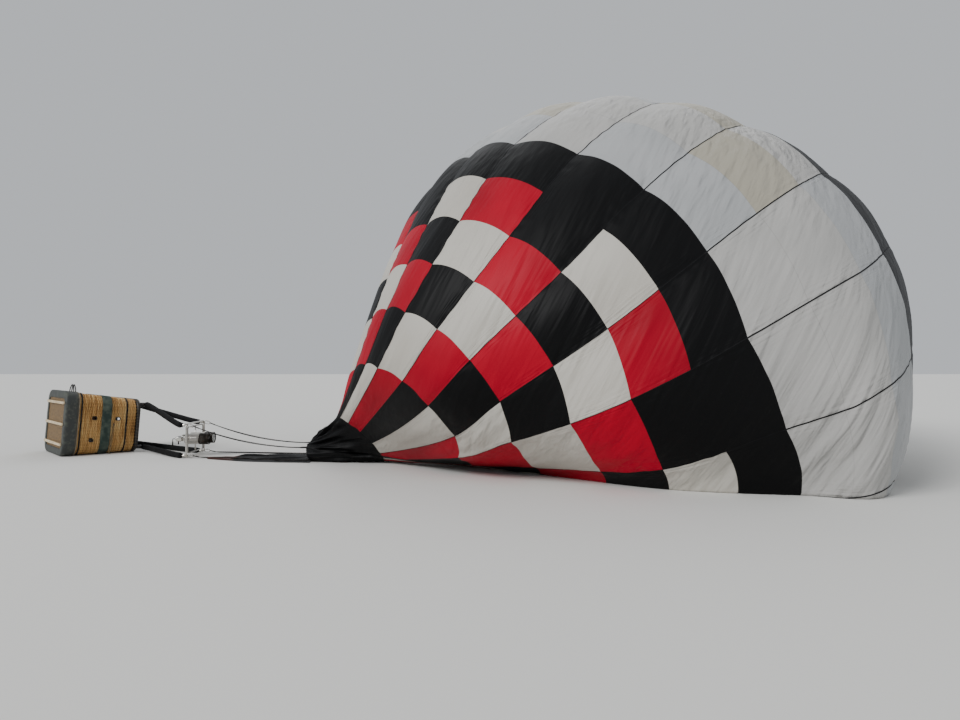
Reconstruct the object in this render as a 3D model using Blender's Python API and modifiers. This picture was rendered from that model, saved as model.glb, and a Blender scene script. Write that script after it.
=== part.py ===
# Hot air balloon lying on its side during cold inflation.
# Metres, Z up.  X runs from the basket to the crown, Y runs away from the viewer.
# Plan places are measured from the foot of the envelope's neck, and the whole
# balloon is moved at the end so that its origin is the bottom centre of its box.
import math
import bpy
import bmesh
from mathutils import Matrix, Vector

FIT_GAP = 0.0003          # between pieces that touch

# Envelope
GORES = 24
GORES_PER_PANEL = 3
FACETS_PER_GORE = 3
ROWS = 16
SKIN = 0.010              # fabric wall
CORNER_SHARE = 1.4        # where the fabric leaves the ground its inside stands in by so much
CORNER_MOST = 2.5         # more than the lean asks for, and by at most this many walls
ENVELOPE_TURN = math.radians(34.5)
BULGES = [
    # gores from the crest, how far a gore stands out between tapes as a share of its width
    (0.0, 0.065),
    (2.3, 0.055),
    (3.3, 0.040),
    (4.3, 0.015),
    (12.0, 0.015),
]
BULGE_LIFT = 0.5          # a gore's bulge is full this share of its width above the ground
UNFOLDED = 0.86           # at most this share of the half girth keeps its full gore width

# Sections of the envelope at some rows.  foot and crest are the distances along the
# axis of the section's bottom and top, top is its height, belly the height of its
# widest point, half its half width there, gore the width of one gore, side how far
# the section stands off the axis away from the viewer, and bow how far its middle
# stands ahead of the line from bottom to top.  tape is the number of the tape on the
# crest, and full the count of gores on each side of it that lie unfolded.
SECTIONS = [
    # row   foot   crest   top   belly  half   gore   side    bow    tape   full
    (0.0,   0.07,  -0.72,  0.78,  0.39,  0.38,  0.19,  0.97,   0.00, -2.30,  4.35),
    (1.0,   0.91,  -0.82,  1.64,  0.83,  1.16,  0.45, -0.36,  -0.40, -1.91,  7.03),
    (2.0,   1.35,  -0.66,  2.44,  1.09,  1.64,  0.58, -0.72,  -0.39, -1.96,  5.96),
    (4.0,   1.89,   0.11,  3.79,  0.89,  3.23,  0.92, -0.63,  -0.12, -1.89,  5.90),
    (6.0,   2.91,   1.26,  5.16,  0.65,  4.79,  1.23, -0.19,  -0.06, -1.86,  5.54),
    (8.0,   3.62,   2.96,  6.24,  1.06,  5.98,  1.43,  0.26,   0.16, -1.90,  6.30),
    (10.0,  5.62,   4.82,  6.16,  2.22,  5.20,  1.43,  0.18,   0.24, -1.22,  6.94),
    (12.0,  7.53,   6.80,  5.74,  2.56,  4.18,  1.30,  0.29,   0.13, -0.90,  7.20),
    (14.0,  8.88,   8.72,  5.07,  2.71,  2.73,  0.92,  0.21,   0.04, -0.64,  7.26),
    (15.0,  9.42,   9.55,  4.53,  2.67,  1.93,  0.64,  0.16,  -0.02, -0.55,  7.24),
    (16.0,  9.91,  10.26,  3.88,  2.59,  1.18,  0.32,  0.05,   0.00, -0.45,  7.21),
]

# Slack gathered along the near tapes carries their seams toward or away from the mouth
TAPE_LEADS = [
    # tape  metres toward the crown
    (-3.0,  0.000),
    (-1.0, -0.055),
    (0.0,   0.076),
    (1.0,   0.142),
    (2.0,   0.119),
    (3.0,  -0.179),
    (4.0,  -0.080),
    (5.0,   0.189),
    (7.0,   0.000),
]
LEAD_ROWS = [
    # row, share of the lead
    (0.0, 0.0),
    (1.0, 1.0),
    (6.0, 1.0),
    (8.0, 0.0),
    (16.0, 0.0),
]

# Mouth: a low oval slot on the ground, joined to the neck by the black mouth band
MOUTH_AT = (-1.72, 1.28)
MOUTH_TURN = math.radians(4.0)
MOUTH_HALF = 0.58
MOUTH_TOP = 0.28
MOUTH_BELLY = 0.12
MOUTH_LEAN = -0.10        # the top lip hangs this far ahead of the bottom lip
BAND_STEPS = 3

# Scoop: flat fabric on the ground between the mouth and the burner
SCOOP_THICK = 0.012
SCOOP_REACH = 1.88        # from the lip to the tip
SCOOP_TIP_SIDE = 0.06
SCOOP_OUTLINE = [
    # share of the reach   near edge   far edge
    (0.00, -0.60, 0.60),
    (0.30, -0.52, 0.66),
    (0.62, -0.36, 0.52),
    (0.86, -0.12, 0.24),
]

# Parachute vent
PANEL_AT = 0.70           # where the panel seats, from the last row but one to the vent
PANEL_GAP = 0.0008
PANEL_RISE = 0.16
PANEL_RINGS = [
    # share of the radius, share of the rise
    (1.00, 0.00),
    (0.66, 0.62),
    (0.33, 0.92),
]
CROWN_RING_RADIUS = 0.15
CROWN_RING_HOLE = 0.11
TAPE_WIDTH = 0.030
TAPE_THICK = 0.004
TAPE_LAP = 0.012
TAPE_LIFT = 0.0005        # of the crossing tapes from the edge of the vent

# Basket, lying on its side: its own axes are x from base to rim, y across, z up
BASKET_AT = (-6.74, 1.945)
BASKET_TURN = math.radians(41.8)
BASKET_HEIGHT = 1.19
BASKET_WIDTH = 1.47
BASKET_DEPTH_BASE = 1.16
BASKET_DEPTH_RIM = 0.98
BASKET_CORNER = 0.22
CORNER_STEPS = 4
WALL = 0.028
TRIM_THICK = 0.012
TRIM_HEIGHT = 0.20
TRIM_FLANGE = 0.13
TRIM_ROUND = 0.03         # the trim's edge round the base
BAND_FROM = 0.59
BAND_HEIGHT = 0.165
STRAP_HEIGHT = 0.028
STRAP_PLACES = (0.235, 1.00)
STRAP_THICK = 0.006
RIM_RADIUS = 0.034
RIM_OFFSET = -0.0217      # of the roll's middle from the wall's outside
FLOOR_THICK = 0.018
RUNNER_WIDTH = 0.045
RUNNER_THICK = 0.028
RUNNER_SHARES = (0.175, 0.49, 0.82)   # of the base's depth
RUNNER_INSET = 0.08
HANDLE_SPAN = 0.15
HANDLE_RISE = 0.12
HANDLE_ROPE = 0.009
HANDLE_SIDES = (-0.45, -0.15)
HANDLE_AT = 0.17
SOCKET_RADIUS = 0.034
SOCKET_LENGTH = 0.09

# Fuel cylinders
TANK_RADIUS = 0.150
TANK_LENGTH = 0.78
TANK_CLEAR = 0.065        # from the side walls
TANK_CAP = 0.05           # length of each rounded end
TANK_SHOULDER = 0.10      # radius at the top of the rounded end
TANK_FOOT_RADIUS = 0.11
TANK_FOOT_HEIGHT = 0.012
TANK_VALVE_RADIUS = 0.045
TANK_VALVE_HEIGHT = 0.03
TANK_PLACES = [
    # side of the basket, and whether it lies on the lower or under the upper wall
    (-1.0, "low"),
    (1.0, "low"),
    (1.0, "high"),
]

# Load frame and burner: x toward the mouth, y across, z up, from the frame's middle
FRAME_AT = (-4.00, 1.70)
FRAME_TURN = math.radians(0.0)
FRAME_WIDTH = 0.82
FRAME_HEIGHT = 0.58
FRAME_CORNER = 0.07
FRAME_TUBE = 0.014
FRAME_SOCKET = 0.026
FRAME_SOCKET_LENGTH = 0.08
GIMBAL_CLEAR = 0.06       # all round, from the load frame's middle line
GIMBAL_WIDTH = FRAME_WIDTH - 2 * GIMBAL_CLEAR
GIMBAL_HEIGHT = FRAME_HEIGHT - 2 * GIMBAL_CLEAR
GIMBAL_CORNER = 0.05
GIMBAL_TUBE = 0.011
PIN_RADIUS = 0.008
BURNER_SIDE = 0.125
BLOCK_LENGTH = 0.16
BLOCK_WIDTH = 0.40
BLOCK_HEIGHT = 0.11
BLOCK_BACK = -0.30
YOKE_RADIUS = 0.012
COIL_RADIUS = 0.088
COIL_TUBE = 0.007
COIL_TURNS = 7
COIL_FROM = -0.125
COIL_PITCH = 0.042
CAN_RADIUS = 0.0998
CAN_WALL = 0.003
CAN_FROM = 0.135
CAN_LENGTH = 0.16
LEVER_LENGTH = 0.13
LEVER_RADIUS = 0.009

# Uprights and rigging
UPRIGHT_RADIUS = 0.052
UPRIGHT_PULL = 0.12       # how far the sleeves keep their sockets' direction, of their length
UPRIGHT_STUB = 0.03
UPRIGHT_POINTS = 14
LINK_LENGTH = 0.12
LINK_WIDTH = 0.062
LINK_BAR = 0.006
LINK_FLAT = 0.0008        # how far the links' facets lie inside their round bar
WIRE_RADIUS = 0.006
WIRE_POINTS = 12
WIRE_SAG = 0.10
WIRE_SPREAD = 0.72        # share of the mouth's half width where the wires meet the lip
WIRE_HIGH = 0.85          # and of its height, for the upper and the lower wires
WIRE_LOW = 0.20
WIRE_STARTS = 0.012       # straight ends of a wire, at its link and at the lip
WIRE_ENDS = 0.020

# Colours (linear red, green, blue), roughness and metallic value of each finish
FINISHES = {
    "fabric_red":    ((0.62, 0.010, 0.030), 0.55, 0.0),
    "fabric_white":  ((0.60, 0.57, 0.53), 0.60, 0.0),
    "fabric_black":  ((0.012, 0.012, 0.014), 0.50, 0.0),
    "wicker":        ((0.50, 0.27, 0.10), 0.70, 0.0),
    "leather_grey":  ((0.045, 0.052, 0.048), 0.60, 0.0),
    "webbing_teal":  ((0.020, 0.045, 0.050), 0.75, 0.0),
    "leather_black": ((0.014, 0.013, 0.012), 0.55, 0.0),
    "wood_pale":     ((0.70, 0.56, 0.36), 0.60, 0.0),
    "wood_brown":    ((0.32, 0.16, 0.07), 0.65, 0.0),
    "rope":          ((0.020, 0.018, 0.016), 0.80, 0.0),
    "steel":         ((0.62, 0.62, 0.60), 0.25, 1.0),
    "steel_dark":    ((0.10, 0.10, 0.11), 0.40, 1.0),
    "aluminium":     ((0.75, 0.75, 0.76), 0.35, 1.0),
    "nylon":         ((0.016, 0.016, 0.018), 0.70, 0.0),
}

COLLECTION = None
WHOLE = None


def clear_scene():
    for item in list(bpy.data.objects):
        bpy.data.objects.remove(item, do_unlink=True)


def finish(name, node):
    colour, roughness, metallic = FINISHES[name]
    mat = bpy.data.materials.new(node + "_" + name)
    mat.use_nodes = True
    shader = mat.node_tree.nodes["Principled BSDF"]
    shader.inputs["Base Color"].default_value = (*colour, 1.0)
    shader.inputs["Roughness"].default_value = roughness
    shader.inputs["Metallic"].default_value = metallic
    return mat


def empty(name, place, turn=0.0, pitch=0.0, parent=None):
    marker = bpy.data.objects.new(name, None)
    COLLECTION.objects.link(marker)
    marker.location = place
    marker.rotation_euler = (0.0, pitch, turn)
    marker.parent = parent
    return marker


def mesh_piece(name, points, faces, finish_name, parent):
    mesh = bpy.data.meshes.new(name)
    mesh.from_pydata([tuple(p) for p in points], [], faces)
    bm = bmesh.new()
    bm.from_mesh(mesh)
    bmesh.ops.triangulate(bm, faces=[f for f in bm.faces if len(f.verts) > 3])
    bmesh.ops.recalc_face_normals(bm, faces=bm.faces)
    bm.to_mesh(mesh)
    bm.free()
    piece = bpy.data.objects.new(name, mesh)
    COLLECTION.objects.link(piece)
    piece.parent = parent
    mesh.materials.append(finish(finish_name, name))
    return piece


def as_mesh(piece):
    # the evaluated shape of a curve or of an object with modifiers, as a plain mesh
    name = piece.name
    graph = bpy.context.evaluated_depsgraph_get()
    mesh = bpy.data.meshes.new_from_object(piece.evaluated_get(graph))
    bm = bmesh.new()
    bm.from_mesh(mesh)
    bmesh.ops.remove_doubles(bm, verts=bm.verts, dist=0.00001)
    bmesh.ops.recalc_face_normals(bm, faces=bm.faces)
    bm.to_mesh(mesh)
    bm.free()
    solid = bpy.data.objects.new(name + "_solid", mesh)
    COLLECTION.objects.link(solid)
    solid.parent = piece.parent
    solid.location = piece.location
    solid.rotation_euler = piece.rotation_euler
    bpy.data.objects.remove(piece, do_unlink=True)
    solid.name = name
    return solid


def tube(name, points, radius, finish_name, parent, cyclic=False, sides=2):
    curve = bpy.data.curves.new(name, "CURVE")
    curve.dimensions = "3D"
    curve.bevel_depth = radius
    curve.bevel_resolution = sides
    curve.use_fill_caps = not cyclic
    line = curve.splines.new("POLY")
    line.points.add(len(points) - 1)
    for spot, point in zip(line.points, points):
        spot.co = (*point, 1.0)
    line.use_cyclic_u = cyclic
    piece = bpy.data.objects.new(name, curve)
    COLLECTION.objects.link(piece)
    piece.parent = parent
    curve.materials.append(finish(finish_name, name))
    return as_mesh(piece)


def cylinder(name, radius, depth, centre, axis, finish_name, parent, sides=16):
    mesh = bpy.data.meshes.new(name)
    bm = bmesh.new()
    bmesh.ops.create_cone(bm, cap_ends=True, segments=sides, radius1=radius, radius2=radius, depth=depth)
    turn = Vector((0, 0, 1)).rotation_difference(Vector(axis)).to_matrix().to_4x4()
    bmesh.ops.transform(bm, matrix=Matrix.Translation(centre) @ turn, verts=bm.verts)
    bm.to_mesh(mesh)
    bm.free()
    mesh.shade_smooth()
    mesh.set_sharp_from_angle(angle=math.radians(40))
    piece = bpy.data.objects.new(name, mesh)
    COLLECTION.objects.link(piece)
    piece.parent = parent
    mesh.materials.append(finish(finish_name, name))
    return piece


def box(name, size, centre, finish_name, parent, bevel=0.0):
    mesh = bpy.data.meshes.new(name)
    bm = bmesh.new()
    bmesh.ops.create_cube(bm, size=1.0)
    bmesh.ops.scale(bm, vec=size, verts=bm.verts)
    bmesh.ops.translate(bm, vec=centre, verts=bm.verts)
    bm.to_mesh(mesh)
    bm.free()
    piece = bpy.data.objects.new(name, mesh)
    COLLECTION.objects.link(piece)
    piece.parent = parent
    mesh.materials.append(finish(finish_name, name))
    if bevel > 0.0:
        round_over = piece.modifiers.new("edges", "BEVEL")
        round_over.width = bevel
        round_over.segments = 2
    return piece


def turned(name, profile, centre, finish_name, parent, steps=24):
    # a profile of (radius, height) turned about the local x axis
    mesh = bpy.data.meshes.new(name)
    points = [(radius, 0.0, height) for radius, height in profile]
    mesh.from_pydata(points, [(i, i + 1) for i in range(len(points) - 1)], [])
    piece = bpy.data.objects.new(name, mesh)
    COLLECTION.objects.link(piece)
    mesh.materials.append(finish(finish_name, name))
    screw = piece.modifiers.new("turn", "SCREW")
    screw.steps = steps
    screw.render_steps = steps
    screw.use_merge_vertices = True
    screw.merge_threshold = 0.0001
    screw.use_smooth_shade = True
    piece.parent = parent
    piece.location = centre
    piece.rotation_euler = (0.0, math.radians(90.0), 0.0)
    return piece


def union(base, others):
    # joins overlapping solids into one closed body
    for other in others:
        join = base.modifiers.new("join", "BOOLEAN")
        join.operation = "UNION"
        join.object = other
        bpy.context.view_layer.update()
        name = base.name
        graph = bpy.context.evaluated_depsgraph_get()
        mesh = bpy.data.meshes.new_from_object(base.evaluated_get(graph))
        base.modifiers.clear()
        base.data = mesh
        base.name = name
        bpy.data.objects.remove(other, do_unlink=True)
    return base


# Envelope

def section(row):
    # smooth curve through the table's rows, one value for each column after the row's
    rows = [s[0] for s in SECTIONS]
    last = len(rows) - 2
    i = max(0, min(last, sum(1 for r in rows[1:] if row >= r)))
    before = SECTIONS[max(0, i - 1)]
    start = SECTIONS[i]
    end = SECTIONS[i + 1]
    after = SECTIONS[min(last + 1, i + 2)]
    span = end[0] - start[0]
    t = (row - start[0]) / span
    values = []
    for c in range(1, len(start)):
        slope_in = (end[c] - before[c]) / (end[0] - before[0])
        slope_out = (after[c] - start[c]) / (after[0] - start[0])
        a = 2 * t ** 3 - 3 * t ** 2 + 1
        b = t ** 3 - 2 * t ** 2 + t
        d = -2 * t ** 3 + 3 * t ** 2
        e = t ** 3 - t ** 2
        values.append(a * start[c] + b * span * slope_in + d * end[c] + e * span * slope_out)
    return values


def outline(top, belly, half, steps=120):
    # half of a section: an oval cut off flat by the ground, from the crest down the
    # near side to the middle of the underside, as (arc length, side, height)
    radius = top - belly
    cut = max(-0.98, min(1.0, belly / radius))
    first = math.acos(cut)
    line = [(0.0, 0.0, top)]
    for i in range(1, steps + 1):
        angle = math.pi - (math.pi - first) * i / steps
        side = -half * math.sin(angle)
        height = belly - radius * math.cos(angle)
        run = math.hypot(side - line[-1][1], height - line[-1][2])
        line.append((line[-1][0] + run, side, height))
    dome = line[-1][0]
    if abs(line[-1][1]) > 0.001:
        line.append((dome + abs(line[-1][1]), 0.0, line[-1][2]))
    return line, dome


def along(line, run):
    for (a, y0, z0), (b, y1, z1) in zip(line, line[1:]):
        if run <= b:
            t = (run - a) / (b - a) if b > a else 0.0
            return y0 + (y1 - y0) * t, z0 + (z1 - z0) * t
    return line[-1][1], line[-1][2]


def place_on(line, dome, gore, full, gores_from_crest):
    # side and height of a point so many gores from the crest.  The full gores keep
    # their width, and the slack of the rest lies folded in the underside.
    run = abs(gores_from_crest) * gore
    half_girth = GORES / 2 * gore
    whole = line[-1][0]
    kept = min(dome, full * gore, UNFOLDED * whole)
    if run > kept:
        run = kept + (run - kept) * (whole - kept) / (half_girth - kept)
    side, height = along(line, run)
    if gores_from_crest < 0:
        side = -side
    return side, height


def graded(table, value):
    # straight lines through a table of (value, result)
    if value <= table[0][0]:
        return table[0][1]
    for (a, first), (b, second) in zip(table, table[1:]):
        if value <= b:
            return first + (second - first) * (value - a) / (b - a)
    return table[-1][1]


def skin_grid(rows):
    # outer points of the envelope, a ring of facets for each row
    columns = GORES * FACETS_PER_GORE
    turn = Matrix.Rotation(ENVELOPE_TURN, 3, "Z")
    grid = []
    for row in rows:
        foot, crest, top, belly, half, gore, off, bow, crest_tape, full = section(row)
        line, dome = outline(top, belly, half)
        low = line[-1][2]
        lead_share = graded(LEAD_ROWS, row)
        base = []
        for j in range(columns):
            tape = crest_tape_number(j / FACETS_PER_GORE, crest_tape)
            side, height = place_on(line, dome, gore, full, tape - crest_tape)
            base.append((side, height, tape))
        ring = []
        for j in range(columns):
            share = (j % FACETS_PER_GORE) / FACETS_PER_GORE
            side, height, tape = base[j]
            puff = graded(BULGES, abs(tape - crest_tape)) * gore * 4.0 * share * (1.0 - share)
            before = base[j - 1]
            after = base[(j + 1) % columns]
            out = Vector((-(after[1] - before[1]), after[0] - before[0]))
            if out.length > 0:
                out.normalize()
            if out.x * side + out.y * (height - belly) < 0:
                out = -out
            lift = min(1.0, max(0.0, height - low) / (BULGE_LIFT * gore))
            side += out.x * puff * lift
            height += out.y * puff * lift
            rise = height / top
            forward = foot + (crest - foot) * rise + bow * 4.0 * rise * (1.0 - rise)
            forward += graded(TAPE_LEADS, tape) * lead_share * lift
            ring.append(turn @ Vector((forward, side + off, height)))
        grid.append(ring)
    return grid


def crest_tape_number(tape, crest_tape):
    # the tape's number in the turn that is centred on the crest
    half = GORES / 2
    while tape > crest_tape + half:
        tape -= GORES
    while tape < crest_tape - half:
        tape += GORES
    return tape


def grid_normals(grid):
    # outward directions of a closed tube of rings
    normals = []
    last = len(grid) - 1
    for i, ring in enumerate(grid):
        middle = sum(ring, Vector()) / len(ring)
        count = len(ring)
        line = []
        for j, point in enumerate(ring):
            across = ring[(j + 1) % count] - ring[j - 1]
            onward = grid[min(last, i + 1)][j] - grid[max(0, i - 1)][j]
            normal = across.cross(onward)
            normal.normalize()
            if normal.dot(point - middle) < 0:
                normal = -normal
            line.append(normal)
        normals.append(line)
    return normals


def shell_from(name, outer, inner, finish_name, parent, closed):
    # a wall between two grids of points; closed joins the last column to the first
    rows = len(outer)
    columns = len(outer[0])
    points = [p for ring in outer for p in ring] + [p for ring in inner for p in ring]
    half = rows * columns

    def at(layer, i, j):
        return layer * half + i * columns + j % columns

    faces = []
    last = columns if closed else columns - 1
    for i in range(rows - 1):
        for j in range(last):
            # both sides of the wall are split along the outside's shorter diagonal
            corners = [(i, j), (i, j + 1), (i + 1, j + 1), (i + 1, j)]
            a, b, c, d = [outer[r][k % columns] for r, k in corners]
            first = 0 if (a - c).length < (b - d).length else 1
            for layer in (0, 1):
                turn = [at(layer, *corners[(first + k) % 4]) for k in range(4)]
                faces.append((turn[0], turn[1], turn[2]))
                faces.append((turn[0], turn[2], turn[3]))
    # the edges' faces are split alike on every wall, so that two which meet leave an even gap
    for j in range(last):
        for k in (0, rows - 1):
            faces.append((at(0, k, j), at(1, k, j), at(1, k, j + 1)))
            faces.append((at(0, k, j), at(1, k, j + 1), at(0, k, j + 1)))
    if not closed:
        for i in range(rows - 1):
            for k in (0, columns - 1):
                faces.append((at(0, i, k), at(1, i, k), at(1, i + 1, k)))
                faces.append((at(0, i, k), at(1, i + 1, k), at(0, i + 1, k)))
    return mesh_piece(name, points, faces, finish_name, parent)


def lay_on_ground(grid, normals):
    # the inner points, one wall thickness in; the outer points never go below ground
    inner = []
    for ring, line in zip(grid, normals):
        row = []
        for point, normal in zip(ring, line):
            if point.z < SKIN:
                # clear of the ground and of the wall that leans up from it
                spot = Vector((point.x, point.y, point.z + SKIN))
                flat = Vector((normal.x, normal.y, 0.0))
                lean = (1.0 + normal.z) / max(0.2, flat.length)
                row.append(spot - flat.normalized() * SKIN * min(CORNER_MOST, CORNER_SHARE * lean))
            else:
                row.append(point - normal * SKIN)
        inner.append(row)
    return inner


def whole_skin():
    # rings of outer and inner points from the mouth's lip to the vent
    grid = skin_grid([float(r) for r in range(ROWS + 1)])
    lip = mouth_ring()
    band = []
    for i in range(BAND_STEPS):
        band.append([a.lerp(b, i / BAND_STEPS) for a, b in zip(lip, grid[0])])
    grid = band + grid
    for ring in grid:
        for point in ring:
            point.z = max(0.0, point.z)
    return grid, lay_on_ground(grid, grid_normals(grid))


def gore_panels(grid, inner, parent):
    step = GORES_PER_PANEL * FACETS_PER_GORE
    columns = GORES * FACETS_PER_GORE
    colours = ("fabric_red", "fabric_white", "fabric_black")
    for panel in range(GORES // GORES_PER_PANEL):
        first = panel * step
        outer_part = []
        inner_part = []
        for ring, under in zip(grid, inner):
            picked = [(first + j) % columns for j in range(step + 1)]
            outer_row = [ring[j].copy() for j in picked]
            inner_row = [under[j].copy() for j in picked]
            start = (ring[picked[1]] - ring[picked[0]]).normalized() * FIT_GAP / 2
            stop = (ring[picked[-2]] - ring[picked[-1]]).normalized() * FIT_GAP / 2
            for row in (outer_row, inner_row):
                row[0] += start
                row[-1] += stop
            outer_part.append(outer_row)
            inner_part.append(inner_row)
        shell_from("gore_panel_%d" % (panel + 1), outer_part, inner_part, colours[panel % 3], parent, False)


def mouth_ring():
    columns = GORES * FACETS_PER_GORE
    line = outline(MOUTH_TOP, MOUTH_BELLY, MOUTH_HALF)[0]
    whole = line[-1][0]
    gore = whole / (GORES / 2)
    crest_tape = SECTIONS[0][9]
    turn = Matrix.Rotation(MOUTH_TURN, 3, "Z")
    ring = []
    for j in range(columns):
        tape = crest_tape_number(j / FACETS_PER_GORE, crest_tape)
        side, height = place_on(line, whole, gore, GORES / 2, tape - crest_tape)
        forward = MOUTH_LEAN * height / MOUTH_TOP
        ring.append(turn @ Vector((forward, side, height)) + Vector((*MOUTH_AT, 0.0)))
    return ring


def mouth_band(grid, inner, parent):
    # black band from the mouth to the neck, ending a gap short of the neck's walls
    ends = []
    for layer in (grid, inner):
        ring = []
        for a, b in zip(layer[-2], layer[-1]):
            ring.append(b + (a - b).normalized() * 2.0 * FIT_GAP)
        ends.append(layer[:-1] + [ring])
    shell_from("mouth_band", ends[0], ends[1], "fabric_black", parent, True)


def scoop(parent):
    turn = Matrix.Rotation(MOUTH_TURN, 3, "Z")
    centre = Vector((*MOUTH_AT, 0.0))
    back = MOUTH_LEAN * SCOOP_THICK / MOUTH_TOP - FIT_GAP
    near = []
    far = []
    for share, low, high in SCOOP_OUTLINE:
        near.append(Vector((back - share * SCOOP_REACH, low, 0.0)))
        far.append(Vector((back - share * SCOOP_REACH, high, 0.0)))
    tip = Vector((back - SCOOP_REACH, SCOOP_TIP_SIDE, 0.0))
    line = near + [tip] + far[::-1]
    line = [turn @ p + centre for p in line]
    count = len(line)
    points = line + [p + Vector((0, 0, SCOOP_THICK)) for p in line]
    faces = [tuple(range(count)), tuple(range(2 * count - 1, count - 1, -1))]
    for i in range(count):
        k = (i + 1) % count
        faces.append((i, k, k + count, i + count))
    return mesh_piece("scoop", points, faces, "fabric_black", parent)


def crown_place():
    # centre of the vent ring and the direction out of the envelope there
    foot, crest, top, belly, half, gore, off, bow = section(float(ROWS))[:8]
    turn = Matrix.Rotation(ENVELOPE_TURN, 3, "Z")
    along_section = Vector((crest - foot, 0.0, top)).normalized()
    out = Vector((along_section.z, 0.0, -along_section.x))
    rise = belly / top
    forward = foot + (crest - foot) * rise + bow * 4.0 * rise * (1.0 - rise)
    centre = Vector((forward, off, belly))
    side = Vector((0.0, 1.0, 0.0))
    return turn @ centre, turn @ out, turn @ side, turn @ along_section


def crown(parent, vent):
    # crown ring with the load tapes that cross the vent, as one flat star
    centre, out, side, up = crown_place()
    ring_in = []
    ring_out = []
    edge = []
    for k in range(GORES):
        point = vent[k * FACETS_PER_GORE] - centre
        angle = math.atan2(point.dot(up), point.dot(side))
        reach = math.hypot(point.dot(up), point.dot(side)) + TAPE_LAP
        edge.append((angle, reach))
    edge.sort()

    def spot(radius, angle, lift):
        return centre + side * radius * math.cos(angle) + up * radius * math.sin(angle) + out * lift

    loop = []
    hole = []
    for k, (angle, reach) in enumerate(edge):
        after = edge[(k + 1) % len(edge)][0] + (2 * math.pi if k == len(edge) - 1 else 0.0)
        before = edge[k - 1][0] - (2 * math.pi if k == 0 else 0.0)
        inner_half = min(0.5 * TAPE_WIDTH / CROWN_RING_RADIUS, 0.42 * min(after - angle, angle - before))
        outer_half = 0.5 * TAPE_WIDTH / reach
        loop.append((CROWN_RING_RADIUS, angle - inner_half))
        loop.append((reach, angle - outer_half))
        loop.append((reach, angle + outer_half))
        loop.append((CROWN_RING_RADIUS, angle + inner_half))
        for turn_by in (-inner_half, -inner_half / 3, inner_half / 3, inner_half):
            hole.append((CROWN_RING_HOLE, angle + turn_by))
    low = TAPE_LIFT
    high = low + TAPE_THICK
    count = len(loop)
    points = [spot(r, a, low) for r, a in loop] + [spot(r, a, high) for r, a in loop]
    points += [spot(r, a, low) for r, a in hole] + [spot(r, a, high) for r, a in hole]
    faces = []
    for i in range(count):
        k = (i + 1) % count
        faces.append((i, k, k + count, i + count))
        faces.append((2 * count + i, 3 * count + i, 3 * count + k, 2 * count + k))
    for i in range(0, count, 4):
        a, b, c, d = i, i + 1, i + 2, i + 3
        n = (i + 4) % count
        for base in (0, count):
            rim = base + 2 * count
            faces.append((base + a, base + b, base + c, base + d))
            faces.append((base + a, base + d, rim + d, rim + c, rim + b, rim + a))
            faces.append((base + d, base + n, rim + n, rim + d))
    return mesh_piece("crown_ring", points, faces, "aluminium", parent)


def parachute(parent, before, vent):
    # the vent's parachute panel, seated inside the last row of fabric
    centre, out, side, up = crown_place()
    rim = [a.lerp(b, PANEL_AT) for a, b in zip(before, vent)][::FACETS_PER_GORE]
    middle = sum(rim, Vector()) / len(rim)
    seated = [point + (middle - point).normalized() * PANEL_GAP for point in rim]
    ring_points = []
    for share, rise in PANEL_RINGS:
        ring = [middle + (p - middle) * share + out * PANEL_RISE * rise for p in seated]
        ring_points.append(ring)
    peak = middle + out * PANEL_RISE
    count = len(seated)
    points = []
    for lift in (0.0, -SKIN):
        for ring in ring_points:
            points += [p + out * lift for p in ring]
        points.append(peak + out * lift)
    size = len(PANEL_RINGS) * count + 1
    faces = []
    for base in (0, size):
        for i in range(len(PANEL_RINGS) - 1):
            for j in range(count):
                k = (j + 1) % count
                a = base + i * count
                faces.append((a + j, a + k, a + count + k, a + count + j))
        for j in range(count):
            k = (j + 1) % count
            last = base + (len(PANEL_RINGS) - 1) * count
            faces.append((last + j, last + k, last + count))
    for j in range(count):
        k = (j + 1) % count
        faces.append((j, k, size + k, size + j))
    return mesh_piece("parachute_panel", points, faces, "fabric_black", parent)


# Basket

def draw_in(x):
    # how far the tapered walls have drawn in at height x of the basket
    return (BASKET_DEPTH_BASE - BASKET_DEPTH_RIM) / 2 * max(0.0, x) / BASKET_HEIGHT


def rounded_ring(x, offset):
    # a rounded rectangle around the basket at height x, grown by offset
    half = BASKET_WIDTH / 2 + offset
    low = draw_in(x) - offset
    high = BASKET_DEPTH_BASE - draw_in(x) + offset
    radius = max(0.02, BASKET_CORNER + offset)
    corners = [(half - radius, high - radius, 0.0), (-half + radius, high - radius, 90.0),
               (-half + radius, low + radius, 180.0), (half - radius, low + radius, 270.0)]
    ring = []
    for y, z, start in corners:
        for i in range(CORNER_STEPS + 1):
            angle = math.radians(start + 90.0 * i / CORNER_STEPS)
            ring.append(Vector((x, y + radius * math.cos(angle), z + radius * math.sin(angle))))
    return ring


def basket_pitch():
    # the tapered lower wall lies flat on the ground, so the basket's axis dips by this
    return math.atan(draw_in(BASKET_HEIGHT) / BASKET_HEIGHT)


def sweep_ring(name, profile, finish_name, parent):
    # a closed profile of (height, offset) carried round the basket
    rings = [rounded_ring(x, offset) for x, offset in profile]
    count = len(rings[0])
    points = [p for ring in rings for p in ring]
    faces = []
    for i in range(len(rings)):
        n = (i + 1) % len(rings)
        for j in range(count):
            k = (j + 1) % count
            faces.append((i * count + j, i * count + k, n * count + k, n * count + j))
    return mesh_piece(name, points, faces, finish_name, parent)


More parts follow.
